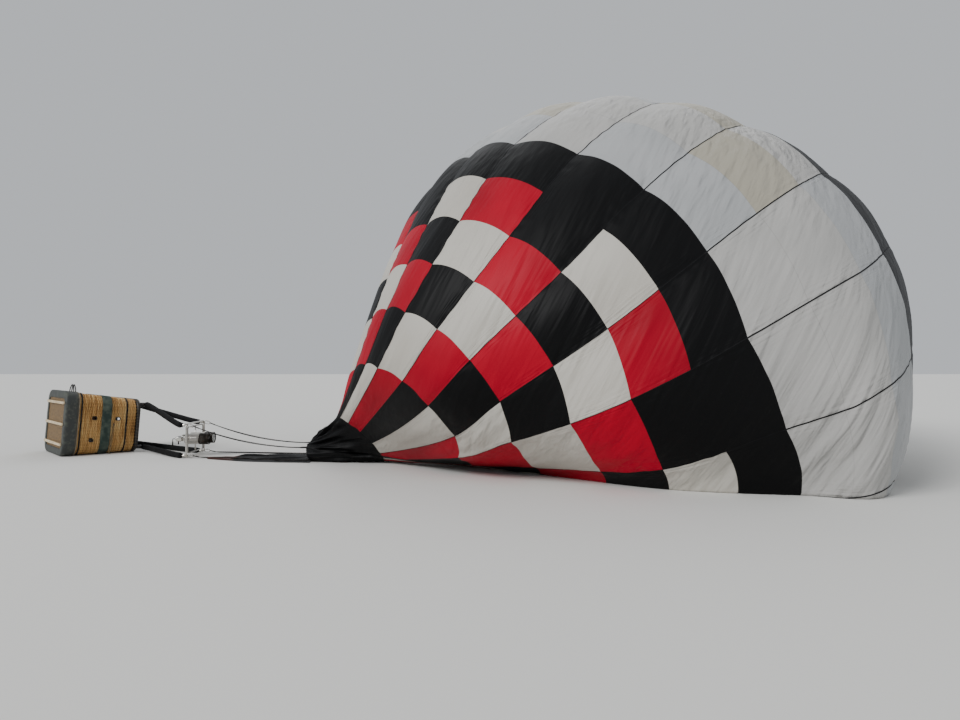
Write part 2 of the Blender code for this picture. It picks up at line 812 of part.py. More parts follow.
def flat_plate(name, x, thick, offset, finish_name, parent):
    ring = rounded_ring(x, offset)
    count = len(ring)
    points = ring + rounded_ring(x + thick, offset)
    faces = [tuple(range(count)), tuple(range(2 * count - 1, count - 1, -1))]
    for i in range(count):
        k = (i + 1) % count
        faces.append((i, k, k + count, i + count))
    return mesh_piece(name, points, faces, finish_name, parent)


def basket(parent):
    g = FIT_GAP
    h = BASKET_HEIGHT
    sweep_ring("basket_walls", [(0.0, 0.0), (h, 0.0), (h, -WALL), (0.0, -WALL)], "wicker", parent)
    t = TRIM_THICK
    e = TRIM_ROUND
    trim = [(TRIM_HEIGHT, g), (TRIM_HEIGHT, g + t), (e, g + t), (0.0, t * 0.7), (-g - t, -e * 0.7),
            (-g - t, -TRIM_FLANGE), (-g, -TRIM_FLANGE), (-g, g)]
    sweep_ring("basket_trim", trim, "leather_grey", parent)
    s = STRAP_THICK
    a = BAND_FROM
    b = BAND_FROM + BAND_HEIGHT
    sweep_ring("basket_band", [(a, g), (b, g), (b, g + s), (a, g + s)], "webbing_teal", parent)
    for i, a in enumerate(STRAP_PLACES):
        b = a + STRAP_HEIGHT
        name = "basket_strap_%d" % (i + 1)
        sweep_ring(name, [(a, g), (b, g), (b, g + s), (a, g + s)], "leather_black", parent)
    flat_plate("basket_floor", g, FLOOR_THICK, -WALL - g, "wood_brown", parent)
    rim = []
    for i in range(10):
        angle = 2 * math.pi * i / 10
        x = BASKET_HEIGHT + g + RIM_RADIUS + RIM_RADIUS * math.cos(angle)
        rim.append((x, RIM_OFFSET + RIM_RADIUS * math.sin(angle)))
    roll = sweep_ring("basket_rim", rim, "leather_black", parent)
    sockets = []
    for side, high in CORNERS:
        x = BASKET_HEIGHT + g + RIM_RADIUS
        y, z = rim_corner(side, high)
        length = RIM_RADIUS + SOCKET_LENGTH
        centre = (x + length / 2, y, z)
        sockets.append(cylinder("socket", SOCKET_RADIUS, length, centre, (1, 0, 0), "leather_black",
                                parent, 12))
    union(roll, sockets)
    for i, share in enumerate(RUNNER_SHARES):
        x = -2 * g - TRIM_THICK - RUNNER_THICK / 2
        z = share * BASKET_DEPTH_BASE
        width = BASKET_WIDTH - 2 * RUNNER_INSET
        box("basket_runner_%d" % (i + 1), (RUNNER_THICK, width, RUNNER_WIDTH), (x, 0.0, z),
            "wood_pale", parent, 0.004)
    for i, y in enumerate(HANDLE_SIDES):
        handle(i, y, parent)


def rim_corner(side, high):
    # middle of the rim roll's rounded corner, where an upright stands
    ring = rounded_ring(BASKET_HEIGHT, RIM_OFFSET)
    y = max(p.y for p in ring) - BASKET_CORNER * (1.0 - math.cos(math.radians(45)))
    low = min(p.z for p in ring)
    top = max(p.z for p in ring)
    inset = BASKET_CORNER * (1.0 - math.cos(math.radians(45)))
    return side * y, (top - inset if high else low + inset)


def handle(i, y, parent):
    # a rope loop through the wicker just above the trim, on the side that lies up
    x = HANDLE_AT
    points = []
    rest = BASKET_DEPTH_BASE - draw_in(x - HANDLE_ROPE) + TRIM_THICK + 2 * FIT_GAP
    foot = rest + HANDLE_ROPE
    for k in range(9):
        angle = math.pi * k / 8
        points.append((x, y - HANDLE_SPAN / 2 * math.cos(angle), foot + HANDLE_RISE * math.sin(angle)))
    points.insert(0, (x, points[0][1], rest))
    points.append((x, points[-1][1], rest))
    tube("rope_handle_%d" % (i + 1), points, HANDLE_ROPE, "rope", parent)


def tanks(parent):
    base = FLOOR_THICK + 2 * FIT_GAP
    top = TANK_LENGTH - TANK_VALVE_HEIGHT
    profile = [(0.0, TANK_LENGTH), (TANK_VALVE_RADIUS, TANK_LENGTH), (TANK_VALVE_RADIUS, top),
               (TANK_SHOULDER, top - 0.1 * TANK_CAP), (TANK_RADIUS, top - TANK_CAP),
               (TANK_RADIUS, TANK_CAP), (TANK_FOOT_RADIUS, TANK_FOOT_HEIGHT), (TANK_FOOT_RADIUS, 0.0),
               (0.0, 0.0)]
    for i, (side, level) in enumerate(TANK_PLACES):
        y = side * (BASKET_WIDTH / 2 - WALL - TANK_RADIUS - TANK_CLEAR)
        z = draw_in(TANK_LENGTH + base) + WALL + TANK_RADIUS + 2 * FIT_GAP
        if level == "high":
            z = BASKET_DEPTH_BASE - draw_in(TANK_LENGTH + base) - WALL - TANK_RADIUS - TANK_CLEAR
        turned("fuel_tank_%d" % (i + 1), profile, (base, y, z), "aluminium", parent)


# Load frame, burner and uprights

CORNERS = [(-1.0, True), (1.0, True), (-1.0, False), (1.0, False)]


def rounded_loop(width, height, corner, steps=4):
    loop = []
    spots = [(1, 1, 0), (-1, 1, 90), (-1, -1, 180), (1, -1, 270)]
    for sy, sz, start in spots:
        y = sy * (width / 2 - corner)
        z = sz * (height / 2 - corner)
        for i in range(steps + 1):
            angle = math.radians(start + 90.0 * i / steps)
            loop.append(Vector((0.0, y + corner * math.cos(angle), z + corner * math.sin(angle))))
    return loop


def frame_corner(side, high):
    reach = FRAME_CORNER * (1.0 - math.cos(math.radians(45)))
    y = side * (FRAME_WIDTH / 2 - reach)
    z = (1 if high else -1) * (FRAME_HEIGHT / 2 - reach)
    return y, z


def load_frame(parent):
    frame = tube("load_frame", rounded_loop(FRAME_WIDTH, FRAME_HEIGHT, FRAME_CORNER), FRAME_TUBE,
                 "steel", parent, True)
    sockets = []
    for side, high in CORNERS:
        y, z = frame_corner(side, high)
        centre = (-FRAME_SOCKET_LENGTH / 2, y, z)
        sockets.append(cylinder("socket", FRAME_SOCKET, FRAME_SOCKET_LENGTH, centre, (1, 0, 0), "steel",
                                parent, 12))
    return union(frame, sockets)


def gimbal(parent):
    ring = tube("gimbal_ring", rounded_loop(GIMBAL_WIDTH, GIMBAL_HEIGHT, GIMBAL_CORNER), GIMBAL_TUBE,
                "steel_dark", parent, True)
    pins = []
    inner = GIMBAL_WIDTH / 2
    outer = FRAME_WIDTH / 2 - FRAME_TUBE - FIT_GAP
    for side in (-1.0, 1.0):
        centre = (0.0, side * (inner + outer) / 2, 0.0)
        pins.append(cylinder("pin", PIN_RADIUS, outer - inner, centre, (0, 1, 0), "steel_dark", parent, 10))
    return union(ring, pins)


def burner(parent):
    top = GIMBAL_HEIGHT / 2 - GIMBAL_TUBE - FIT_GAP
    block_x = BLOCK_BACK + BLOCK_LENGTH / 2
    block = box("burner_block", (BLOCK_LENGTH, BLOCK_WIDTH, BLOCK_HEIGHT), (block_x, 0, 0), "steel",
                parent, 0.010)
    block = as_mesh(block)
    yoke = cylinder("yoke", YOKE_RADIUS, 2 * top, (0, 0, 0), (0, 0, 1), "steel", parent, 12)
    reach = -BLOCK_BACK - BLOCK_LENGTH + 0.01
    arm = cylinder("arm", YOKE_RADIUS * 0.9, reach, (-reach / 2, 0, 0), (1, 0, 0), "steel", parent, 12)
    union(block, [arm, yoke])
    for i, side in enumerate((-1.0, 1.0)):
        coil(i, side * BURNER_SIDE, parent)
        can(i, side * BURNER_SIDE, parent)
        lever(i, side * BURNER_SIDE, parent)


def coil(i, y, parent):
    # vaporising coil: starts at the block on its inner side, winds into the can
    start = BLOCK_BACK + BLOCK_LENGTH + FIT_GAP
    reach = -COIL_RADIUS if y > 0 else COIL_RADIUS
    points = [Vector((start, y + reach, 0.0))]
    steps = 14
    total = COIL_TURNS * steps
    for k in range(total + 1):
        angle = 2 * math.pi * k / steps
        x = COIL_FROM + COIL_PITCH * k / steps
        points.append(Vector((x, y + reach * math.cos(angle), COIL_RADIUS * math.sin(angle))))
    return tube("burner_coil_%d" % (i + 1), points, COIL_TUBE, "steel", parent, False, 1)


def can(i, y, parent):
    outer = CAN_RADIUS
    inner = CAN_RADIUS - CAN_WALL
    profile = [(outer, CAN_LENGTH), (outer, 0.0), (inner, 0.0), (inner, CAN_LENGTH), (outer, CAN_LENGTH)]
    return turned("burner_can_%d" % (i + 1), profile, (CAN_FROM, y, 0.0), "steel_dark", parent)


def lever(i, y, parent):
    x = BLOCK_BACK - FIT_GAP
    points = [(x, y, 0.0), (x - 0.05, y, 0.0), (x - 0.06, y, -0.01), (x - 0.06, y, -LEVER_LENGTH)]
    return tube("blast_valve_%d" % (i + 1), points, LEVER_RADIUS, "steel_dark", parent)


def hermite(a, ta, b, tb, t):
    return (a * (2 * t ** 3 - 3 * t ** 2 + 1) + ta * (t ** 3 - 2 * t ** 2 + t)
            + b * (3 * t ** 2 - 2 * t ** 3) + tb * (t ** 3 - t ** 2))


def uprights(parent, basket_place, frame_place):
    # padded sleeves bent from the basket's rim sockets to the load frame's sockets
    for i, (side, high) in enumerate(CORNERS):
        y, z = rim_corner(side, high)
        x = BASKET_HEIGHT + FIT_GAP + 2 * RIM_RADIUS + SOCKET_LENGTH + FIT_GAP
        start = basket_place @ Vector((x, y, z))
        start_way = (basket_place.to_3x3() @ Vector((1, 0, 0))).normalized()
        y, z = frame_corner(side, high)
        end = frame_place @ Vector((-FRAME_SOCKET_LENGTH - FIT_GAP, y, z))
        end_way = (frame_place.to_3x3() @ Vector((1, 0, 0))).normalized()
        pull = (end - start).length * UPRIGHT_PULL
        points = [start]
        for k in range(UPRIGHT_POINTS + 1):
            t = k / UPRIGHT_POINTS
            points.append(hermite(start + start_way * UPRIGHT_STUB, start_way * pull,
                                  end - end_way * UPRIGHT_STUB, end_way * pull, t))
        points.append(end)
        low = UPRIGHT_RADIUS
        points = [Vector((p.x, p.y, max(p.z, low))) for p in points]
        tube("upright_%d" % (i + 1), points, UPRIGHT_RADIUS, "nylon", parent)


def link_ring(name, start, way, parent):
    # an oval link in the upright plane that holds its direction
    up = Vector((0, 0, 1))
    flat = (up - way * up.dot(way)).normalized()
    points = []
    straight = LINK_LENGTH - LINK_WIDTH
    radius = LINK_WIDTH / 2 - LINK_BAR
    centre_a = start + way * (LINK_BAR + radius)
    centre_b = centre_a + way * straight
    for centre, first in ((centre_b, -90.0), (centre_a, 90.0)):
        for i in range(7):
            angle = math.radians(first + 180.0 * i / 6)
            points.append(centre + way * radius * math.cos(angle) + flat * radius * math.sin(angle))
    tube(name, points, LINK_BAR, "steel", parent, True, 1)
    return centre_b + way * (radius + LINK_BAR)


def lip_place(lip, lip_inner, side, high):
    # middle of the lip's end face nearest to where a wire is wanted, and the way out of it
    columns = len(lip)
    centre = sum(lip, Vector()) / columns
    want = Vector((side * WIRE_SPREAD * MOUTH_HALF, MOUTH_TOP * (WIRE_HIGH if high else WIRE_LOW)))
    best = None
    for j, point in enumerate(lip):
        gap = math.hypot(point.y - centre.y - want.x, point.z - want.y)
        if point.z > 2.5 * WIRE_RADIUS + SCOOP_THICK and (best is None or gap < best[0]):
            best = (gap, j)
    j = best[1]
    across = lip[(j + 1) % columns] - lip[j - 1]
    through = lip_inner[j] - lip[j]
    way = across.cross(through).normalized()
    if way.x > 0:
        way = -way
    return (lip[j] + lip_inner[j]) / 2, way


def rigging(parent, frame_place, lip, lip_inner):
    # a link at each frame corner and one bundle of flying wires from it to the lip
    for i, (side, high) in enumerate(CORNERS):
        y, z = frame_corner(side, high)
        corner = frame_place @ Vector((0, y, z))
        target, lip_way = lip_place(lip, lip_inner, side, high)
        way = (target - corner).normalized()
        if not high:
            way = Vector((way.x, way.y, 0.0)).normalized()
        start = corner + way * (FRAME_TUBE + FIT_GAP - LINK_FLAT / 2)
        end = link_ring("karabiner_%d" % (i + 1), start, way, parent)
        end -= way * LINK_FLAT
        first = end + way * (FIT_GAP + WIRE_STARTS)
        last = target + lip_way * WIRE_ENDS
        points = [end + way * FIT_GAP]
        for k in range(WIRE_POINTS + 1):
            t = k / WIRE_POINTS
            point = first.lerp(last, t)
            point.z -= WIRE_SAG * 4.0 * t * (1.0 - t)
            point.z = max(point.z, WIRE_RADIUS + SCOOP_THICK + FIT_GAP)
            points.append(point)
        points.append(target + lip_way * FIT_GAP)
        tube("flying_wires_%d" % (i + 1), points, WIRE_RADIUS, "steel_dark", parent)


def stand_at_origin():
    # moves everything so that the origin is the bottom centre of the box around it
    bpy.context.view_layer.update()
    graph = bpy.context.evaluated_depsgraph_get()
    low = Vector((1e9, 1e9, 1e9))
    high = -low
    for piece in COLLECTION.objects:
        if piece.type != "MESH":
            continue
        solid = piece.evaluated_get(graph)
        for vertex in solid.data.vertices:
            spot = solid.matrix_world @ vertex.co
            for axis in range(3):
                low[axis] = min(low[axis], spot[axis])
                high[axis] = max(high[axis], spot[axis])
    shift = Vector(((low.x + high.x) / 2, (low.y + high.y) / 2, low.z))
    WHOLE.location = -shift
    bpy.context.view_layer.update()
    return low, high


def build():
    global COLLECTION, WHOLE
    clear_scene()
    COLLECTION = bpy.data.collections.new("hot_air_balloon")
    bpy.context.scene.collection.children.link(COLLECTION)
    WHOLE = empty("balloon", (0, 0, 0))

    grid, inner = whole_skin()
    gore_panels(grid[BAND_STEPS:], inner[BAND_STEPS:], WHOLE)
    mouth_band(grid[:BAND_STEPS + 1], inner[:BAND_STEPS + 1], WHOLE)
    scoop(WHOLE)
    crown(WHOLE, grid[-1])
    parachute(WHOLE, inner[-2], inner[-1])

    pitch = basket_pitch()
    basket_at = Vector((*BASKET_AT, (TRIM_THICK + FIT_GAP) * math.cos(pitch)))
    basket_frame = empty("basket_place", basket_at, BASKET_TURN, pitch, WHOLE)
    basket(basket_frame)
    tanks(basket_frame)

    frame_at = Vector((*FRAME_AT, FRAME_HEIGHT / 2 + FRAME_SOCKET))
    frame_empty = empty("frame_place", frame_at, FRAME_TURN, 0.0, WHOLE)
    load_frame(frame_empty)
    gimbal(frame_empty)
    burner(frame_empty)

    basket_turn = Matrix.Rotation(BASKET_TURN, 4, "Z") @ Matrix.Rotation(pitch, 4, "Y")
    basket_place = Matrix.Translation(basket_at) @ basket_turn
    frame_place = Matrix.Translation(frame_at) @ Matrix.Rotation(FRAME_TURN, 4, "Z")
    uprights(WHOLE, basket_place, frame_place)
    rigging(WHOLE, frame_place, grid[0], inner[0])
    stand_at_origin()


build()
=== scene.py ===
import math
import random
import bpy
import numpy as np
from mathutils import Matrix, Vector, noise


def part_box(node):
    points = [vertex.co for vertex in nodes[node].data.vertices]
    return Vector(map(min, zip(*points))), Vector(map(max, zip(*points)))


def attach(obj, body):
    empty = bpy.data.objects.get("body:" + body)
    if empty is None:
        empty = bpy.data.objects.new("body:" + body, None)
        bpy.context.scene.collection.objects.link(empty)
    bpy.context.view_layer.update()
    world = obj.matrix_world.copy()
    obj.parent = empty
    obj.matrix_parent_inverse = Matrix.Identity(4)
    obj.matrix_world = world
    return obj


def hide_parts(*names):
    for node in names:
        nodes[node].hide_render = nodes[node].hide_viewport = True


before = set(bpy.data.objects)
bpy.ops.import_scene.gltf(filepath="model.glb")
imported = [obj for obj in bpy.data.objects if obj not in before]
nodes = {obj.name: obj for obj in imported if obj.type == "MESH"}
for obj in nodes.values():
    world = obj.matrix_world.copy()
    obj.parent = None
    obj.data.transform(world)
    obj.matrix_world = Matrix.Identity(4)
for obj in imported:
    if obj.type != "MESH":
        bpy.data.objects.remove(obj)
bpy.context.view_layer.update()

# places that the solids were built from, in metres from the foot of the envelope's neck
layout = {
    "frameAt": (-4.00, 1.70),
    "frameWidth": 0.82,
    "frameHeight": 0.58,
    "frameCorner": 0.07,
    "frameTube": 0.014,
    "frameSocket": 0.08,      # length
}
frameLow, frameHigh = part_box("load_frame")
neckFoot = Vector((
    frameHigh.x - layout["frameTube"] - layout["frameAt"][0],
    (frameLow.y + frameHigh.y) / 2 - layout["frameAt"][1],
    0.0,
))
frameCentre = neckFoot + Vector((*layout["frameAt"], (frameLow.z + frameHigh.z) / 2))

# camera at standing eye height
cameraSettings = {
    "eye": (1.18, -11.42, 1.6),   # from the neck's foot
    "lensMm": 27.0,
    "pitchUpDeg": 0.6,
}


def makeCamera(use):
    data = bpy.data.cameras.new("camera")
    data.lens = use["lensMm"]
    data.sensor_width = 36.0
    data.clip_end = 400.0
    cam = bpy.data.objects.new("camera", data)
    bpy.context.scene.collection.objects.link(cam)
    cam.location = neckFoot + Vector(use["eye"])
    cam.rotation_euler = (math.radians(90.0 + use["pitchUpDeg"]), 0.0, 0.0)
    bpy.context.scene.camera = cam


makeCamera(cameraSettings)
print("camera set")


# small tools for materials

def toLinear(hexColour):
    parts = [int(hexColour[i:i + 2], 16) / 255 for i in (0, 2, 4)]
    return tuple(c / 12.92 if c <= 0.04045 else ((c + 0.055) / 1.055) ** 2.4 for c in parts) + (1.0,)


def addNode(tree, kind, sockets, give=0, stops=(), **settings):
    # an input takes a number, a hex colour, or the output that feeds it; stops are a ramp's
    node = tree.nodes.new("ShaderNode" + kind)
    for name, value in settings.items():
        setattr(node, name, value)
    for name, value in sockets.items():
        if isinstance(value, bpy.types.NodeSocket):
            tree.links.new(value, node.inputs[name])
        else:
            node.inputs[name].default_value = toLinear(value) if isinstance(value, str) else value
    ramp = node.color_ramp.elements if stops else []
    while len(ramp) < len(stops):
        ramp.new(0.5)
    for element, (place, hexColour) in zip(ramp, stops):
        element.position = place
        element.color = toLinear(hexColour)
    return node.outputs[give] if node.outputs else None


def startMaterial(name):
    mat = bpy.data.materials.new(name)
    mat.use_nodes = True
    mat.node_tree.nodes.clear()
    return mat, mat.node_tree, addNode(mat.node_tree, "TexCoord", {}, "Object")


def finishMaterial(mat, sockets):
    tree = mat.node_tree
    addNode(tree, "OutputMaterial", {"Surface": addNode(tree, "BsdfPrincipled", sockets)})
    return mat


# Coated ripstop nylon, calendered: a soft sheen over flat colour, fine puckers that run
# along each gore from the tapes, and slack folds that hang toward the ground.
# The 6 mm ripstop squares are too fine to show, so they are drawn 30 mm wide.
clothSettings = {
    "goreMetres": 1.4,
    "rowMetres": 1.25,
    "ripstopMm": 30.0,
    "ripstopDepth": 0.002,      # metres, as the other depths
    "puckerMm": 48.0,
    "puckerLengthMm": 1100.0,
    "puckerDepth": 0.035,
    "foldMm": 130.0,
    "foldLengthMm": 2600.0,
    "foldDepth": 0.10,
    "foldLeanDeg": 24.0,
    "fineLeanDeg": 29.0,
    "seamMm": 22.0,
    "roughness": 0.50,
}


def offMiddle(tree, uv, axis):
    # how far a place is from the middle of its gore or row, up to 0.5
    share = addNode(tree, "Math", {0: addNode(tree, "SeparateXYZ", {0: uv}, axis)}, operation="FRACT")
    fromMiddle = addNode(tree, "Math", {0: share, 1: 0.5}, operation="SUBTRACT")
    return addNode(tree, "Math", {0: fromMiddle}, operation="ABSOLUTE")


def clothPuckers(tree, uv, place, across):
    # long thin noise that runs with the gore, strongest beside the tapes
    use = clothSettings
    size = (use["goreMetres"] * 1000 / use["puckerMm"], use["rowMetres"] * 1000 / use["puckerLengthMm"], 1.0)
    bend = addNode(tree, "TexNoise", {"Vector": uv, "Scale": 0.9, "Detail": 1.0}, "Color")
    slight = addNode(tree, "VectorMath", {0: bend, "Scale": 0.12}, operation="SCALE")
    bent = addNode(tree, "VectorMath", {0: uv, 1: slight}, operation="ADD")
    drawn = addNode(tree, "Mapping", {"Vector": bent, "Scale": size})
    puckers = addNode(tree, "TexNoise", {"Vector": drawn, "Scale": 1.0, "Detail": 1.0})
    nearTape = addNode(tree, "MapRange", {0: across, 1: 0.28, 2: 0.50, 3: 0.04, 4: 1.0})
    spots = addNode(tree, "TexNoise", {"Vector": place, "Scale": 0.8, "Detail": 1.0})
    inSpot = addNode(tree, "MapRange", {0: spots, 1: 0.35, 2: 0.65, 3: 0.2, 4: 1.0})
    mask = addNode(tree, "Math", {0: nearTape, 1: inSpot}, operation="MULTIPLY")
    return addNode(tree, "Math", {0: puckers, 1: mask}, operation="MULTIPLY")


def clothFoldHeight(tree, place):
    # long soft folds between the large ones that the mesh has: they lean off the crest
    use = clothSettings
    wide = use["foldMm"] / 1000
    long = use["foldLengthMm"] / 1000
    heights = []
    for size, leanDeg in (((wide, 2.0 * wide, long), use["foldLeanDeg"]),
                          ((0.42 * wide, wide, 0.5 * long), use["fineLeanDeg"])):
        drawn = addNode(tree, "Mapping", {
            "Vector": place, "Scale": size, "Rotation": (0.0, math.radians(leanDeg), 0.0),
        }, vector_type="TEXTURE")
        heights.append(addNode(tree, "TexNoise", {
            "Vector": drawn, "Scale": 1.0, "Detail": 1.0, "Roughness": 0.4, "Distortion": 0.2,
        }))
    fine = addNode(tree, "Math", {0: heights[1], 1: 0.28}, operation="MULTIPLY")
    both = addNode(tree, "Math", {0: heights[0], 1: fine}, operation="ADD")
    spots = addNode(tree, "TexNoise", {"Vector": place, "Scale": 0.45, "Detail": 1.0})
    inSpot = addNode(tree, "MapRange", {0: spots, 1: 0.36, 2: 0.62, 3: 0.25, 4: 1.0})
    return addNode(tree, "Math", {0: both, 1: inSpot}, operation="MULTIPLY")


def ripstopNylon(name, hexColour, shadeHex, seamHex, pucker=0.6, fold=0.6, gloss=0.30):
    use = clothSettings
    mat, tree, place = startMaterial(name)
    uv = addNode(tree, "UVMap", {}, uv_map="gores")
    across = offMiddle(tree, uv, "X")
    along = offMiddle(tree, uv, "Y")
    bump = addNode(tree, "Bump", {
        "Height": clothPuckers(tree, uv, place, across), "Strength": pucker, "Distance": use["puckerDepth"],
    })
    bump = addNode(tree, "Bump", {
        "Height": clothFoldHeight(tree, place), "Strength": fold, "Distance": use["foldDepth"],
        "Normal": bump,
    })

    # ripstop squares
    perGore = use["goreMetres"] * 1000 / use["ripstopMm"]
    squares = addNode(tree, "Mapping", {"Vector": uv, "Scale": (perGore, perGore * 0.9, 1.0)})
    grid = addNode(tree, "TexBrick", {
        "Vector": squares, "Scale": 1.0, "Mortar Size": 0.06, "Mortar Smooth": 1.0, "Brick Width": 1.0,
        "Row Height": 1.0, "Color1": "000000", "Color2": "000000", "Mortar": "FFFFFF",
    }, offset=0.0)
    bump = addNode(tree, "Bump", {
        "Height": grid, "Strength": 0.06, "Distance": use["ripstopDepth"], "Normal": bump,
    })

    # colour: faded unevenly, with the doubled cloth of the felled seams a little deeper
    faded = addNode(tree, "TexNoise", {"Vector": place, "Scale": 0.55, "Detail": 3.0})
    tone = addNode(tree, "ValToRGB", {0: faded}, stops=[(0.32, shadeHex), (0.66, hexColour)])
    seamHalf = use["seamMm"] / 2000 / use["goreMetres"]
    edges = [addNode(tree, "MapRange", {0: off, 1: 0.5 - seamHalf, 2: 0.5, 3: 0.0, 4: 1.0})
             for off in (across, along)]
    edge = addNode(tree, "Math", {0: edges[0], 1: edges[1]}, operation="MAXIMUM")
    share = addNode(tree, "Math", {0: edge, 1: 0.55}, operation="MULTIPLY")
    return finishMaterial(mat, {
        "Base Color": addNode(tree, "Mix", {0: share, 6: tone, 7: seamHex}, 2, data_type="RGBA"),
        "Normal": bump,
        "Roughness": use["roughness"],
        "Specular IOR Level": gloss,
    })


clothMaterials = {
    "red": ripstopNylon("ripstopNylonRed", "AC0024", "8A001A", "760014", 0.6, 0.35, 0.14),
    "white": ripstopNylon("ripstopNylonWhite", "BDB9B0", "AFAAA1", "8F8A81", 0.8, 0.55, 0.25),
    "black": ripstopNylon("ripstopNylonBlack", "030304", "020203", "080809", 0.5, 0.35, 0.14),
    "grey": ripstopNylon("ripstopNylonGrey", "A3A4A5", "989A9B", "838587", 0.8, 0.75, 0.25),
    "pale": ripstopNylon("ripstopNylonPale", "ACAAA7", "A09F9C", "888683", 0.8, 0.85, 0.25),
    "beige": ripstopNylon("ripstopNylonBeige", "A19C8F", "989385", "868070", 0.8, 0.6, 0.25),
    "brown": ripstopNylon("ripstopNylonBrown", "3E2018", "2C1712", "1E100D", 0.6, 0.6, 0.15),
}
clothOrder = ["red", "white", "black", "grey", "pale", "beige"]


# Polyester webbing: flat woven tape, close ribs along it, dull
def polyesterWebbing(name, hexColour, wornHex, ribMm=6.0, wearMm=111.1):
    mat, tree, place = startMaterial(name)
    drawn = addNode(tree, "Mapping", {"Vector": place, "Scale": (1.0, 1.0, 0.35)})
    ribs = addNode(tree, "TexNoise", {"Vector": drawn, "Scale": 1000 / ribMm})
    wear = addNode(tree, "TexNoise", {"Vector": place, "Scale": 1000 / wearMm, "Detail": 4.0})
    return finishMaterial(mat, {
        "Base Color": addNode(tree, "ValToRGB", {0: wear}, stops=[(0.40, hexColour), (0.75, wornHex)]),
        "Normal": addNode(tree, "Bump", {"Height": ribs, "Strength": 0.5, "Distance": 0.001}),
        "Roughness": 0.78,
        "Specular IOR Level": 0.25,
    })


# Chrome-tanned hide: pebbled grain, scuffs that go pale, uneven gloss where hands rub it
hideSettings = {
    "pebbleMm": 4.348,      # drawn about twice the real grain
    "creaseMm": 45.45,
    "scuffMm": 90.91,
}


def chromeTannedHide(name, hexColour, scuffHex, roughness=0.55, scuffs=0.62):
    use = hideSettings
    mat, tree, place = startMaterial(name)
    pebble = addNode(tree, "TexVoronoi", {"Vector": place, "Scale": 1000 / use["pebbleMm"]})
    crease = addNode(tree, "TexNoise", {
        "Vector": place, "Scale": 1000 / use["creaseMm"], "Detail": 4.0, "Roughness": 0.6,
    })
    scuff = addNode(tree, "TexNoise", {
        "Vector": place, "Scale": 1000 / use["scuffMm"], "Detail": 6.0, "Roughness": 0.7,
    })
    bump = addNode(tree, "Bump", {"Height": crease, "Strength": 0.35, "Distance": 0.004})
    bump = addNode(tree, "Bump", {"Height": pebble, "Strength": 0.25, "Distance": 0.0008, "Normal": bump})
    stops = [(scuffs - 0.14, hexColour), (scuffs + 0.10, scuffHex)]
    rubbed = {0: scuff, 1: 0.4, 2: 0.7, 3: roughness - 0.1, 4: roughness + 0.2}
    return finishMaterial(mat, {
        "Base Color": addNode(tree, "ValToRGB", {0: scuff}, stops=stops),
        "Normal": bump,
        "Roughness": addNode(tree, "MapRange", rubbed),
    })


# Stainless steel tube, mill finish: soft streaks, heat tint and handling marks in the gloss
def stainlessSteel(name, hexColour, roughness, tintHex, smearMm=142.86, scratchMm=25.0):
    mat, tree, place = startMaterial(name)
    smear = addNode(tree, "TexNoise", {
        "Vector": place, "Scale": 1000 / smearMm, "Detail": 5.0, "Roughness": 0.6,
    })
    drawn = addNode(tree, "Mapping", {"Vector": place, "Scale": (1.0, 6.0, 6.0)})
    scratch = addNode(tree, "TexNoise", {"Vector": drawn, "Scale": 1000 / scratchMm, "Detail": 3.0})
    handled = {0: smear, 1: 0.3, 2: 0.7, 3: roughness * 0.7, 4: roughness * 1.5}
    return finishMaterial(mat, {
        "Base Color": addNode(tree, "ValToRGB", {0: smear}, stops=[(0.38, hexColour), (0.70, tintHex)]),
        "Normal": addNode(tree, "Bump", {"Height": scratch, "Strength": 0.06, "Distance": 0.001}),
        "Roughness": addNode(tree, "MapRange", handled),
        "Metallic": 1.0,
    })


# Textured nylon sleeve: coarse dull weave over padding, dusty on top
def texturedNylon(name, hexColour, dustHex, weaveMm=3.125, crushMm=62.5, dustMm=166.67):
    mat, tree, place = startMaterial(name)
    weave = addNode(tree, "TexVoronoi", {"Vector": place, "Scale": 1000 / weaveMm})
    crush = addNode(tree, "TexNoise", {"Vector": place, "Scale": 1000 / crushMm, "Detail": 3.0})
    dust = addNode(tree, "TexNoise", {"Vector": place, "Scale": 1000 / dustMm, "Detail": 5.0})
    bump = addNode(tree, "Bump", {"Height": crush, "Strength": 0.6, "Distance": 0.008})
    bump = addNode(tree, "Bump", {"Height": weave, "Strength": 0.4, "Distance": 0.001, "Normal": bump})
    return finishMaterial(mat, {
        "Base Color": addNode(tree, "ValToRGB", {0: dust}, stops=[(0.45, hexColour), (0.75, dustHex)]),
        "Normal": bump,
        "Roughness": 0.82,
        "Specular IOR Level": 0.2,
    })


# Laid rope and lacing: twisted yarns, fuzzy and dull
def laidCord(name, hexColour, paleHex, yarnMm=3.846, patchMm=33.33):
    mat, tree, place = startMaterial(name)
    yarn = addNode(tree, "TexNoise", {"Vector": place, "Scale": 1000 / yarnMm})
    patch = addNode(tree, "TexNoise", {"Vector": place, "Scale": 1000 / patchMm, "Detail": 3.0})
    return finishMaterial(mat, {
        "Base Color": addNode(tree, "ValToRGB", {0: patch}, stops=[(0.4, hexColour), (0.7, paleHex)]),
        "Normal": addNode(tree, "Bump", {"Height": yarn, "Strength": 0.7, "Distance": 0.0012}),
        "Roughness": 0.85,
        "Sheen Weight": 0.3,
    })


# mesh tools

def joinParts(parts):
    points = []
    faces = []
    for some, theirs in parts:
        base = len(points)
        points += [tuple(p) for p in some]
        faces += [tuple(base + i for i in face) for face in theirs]
    return points, faces


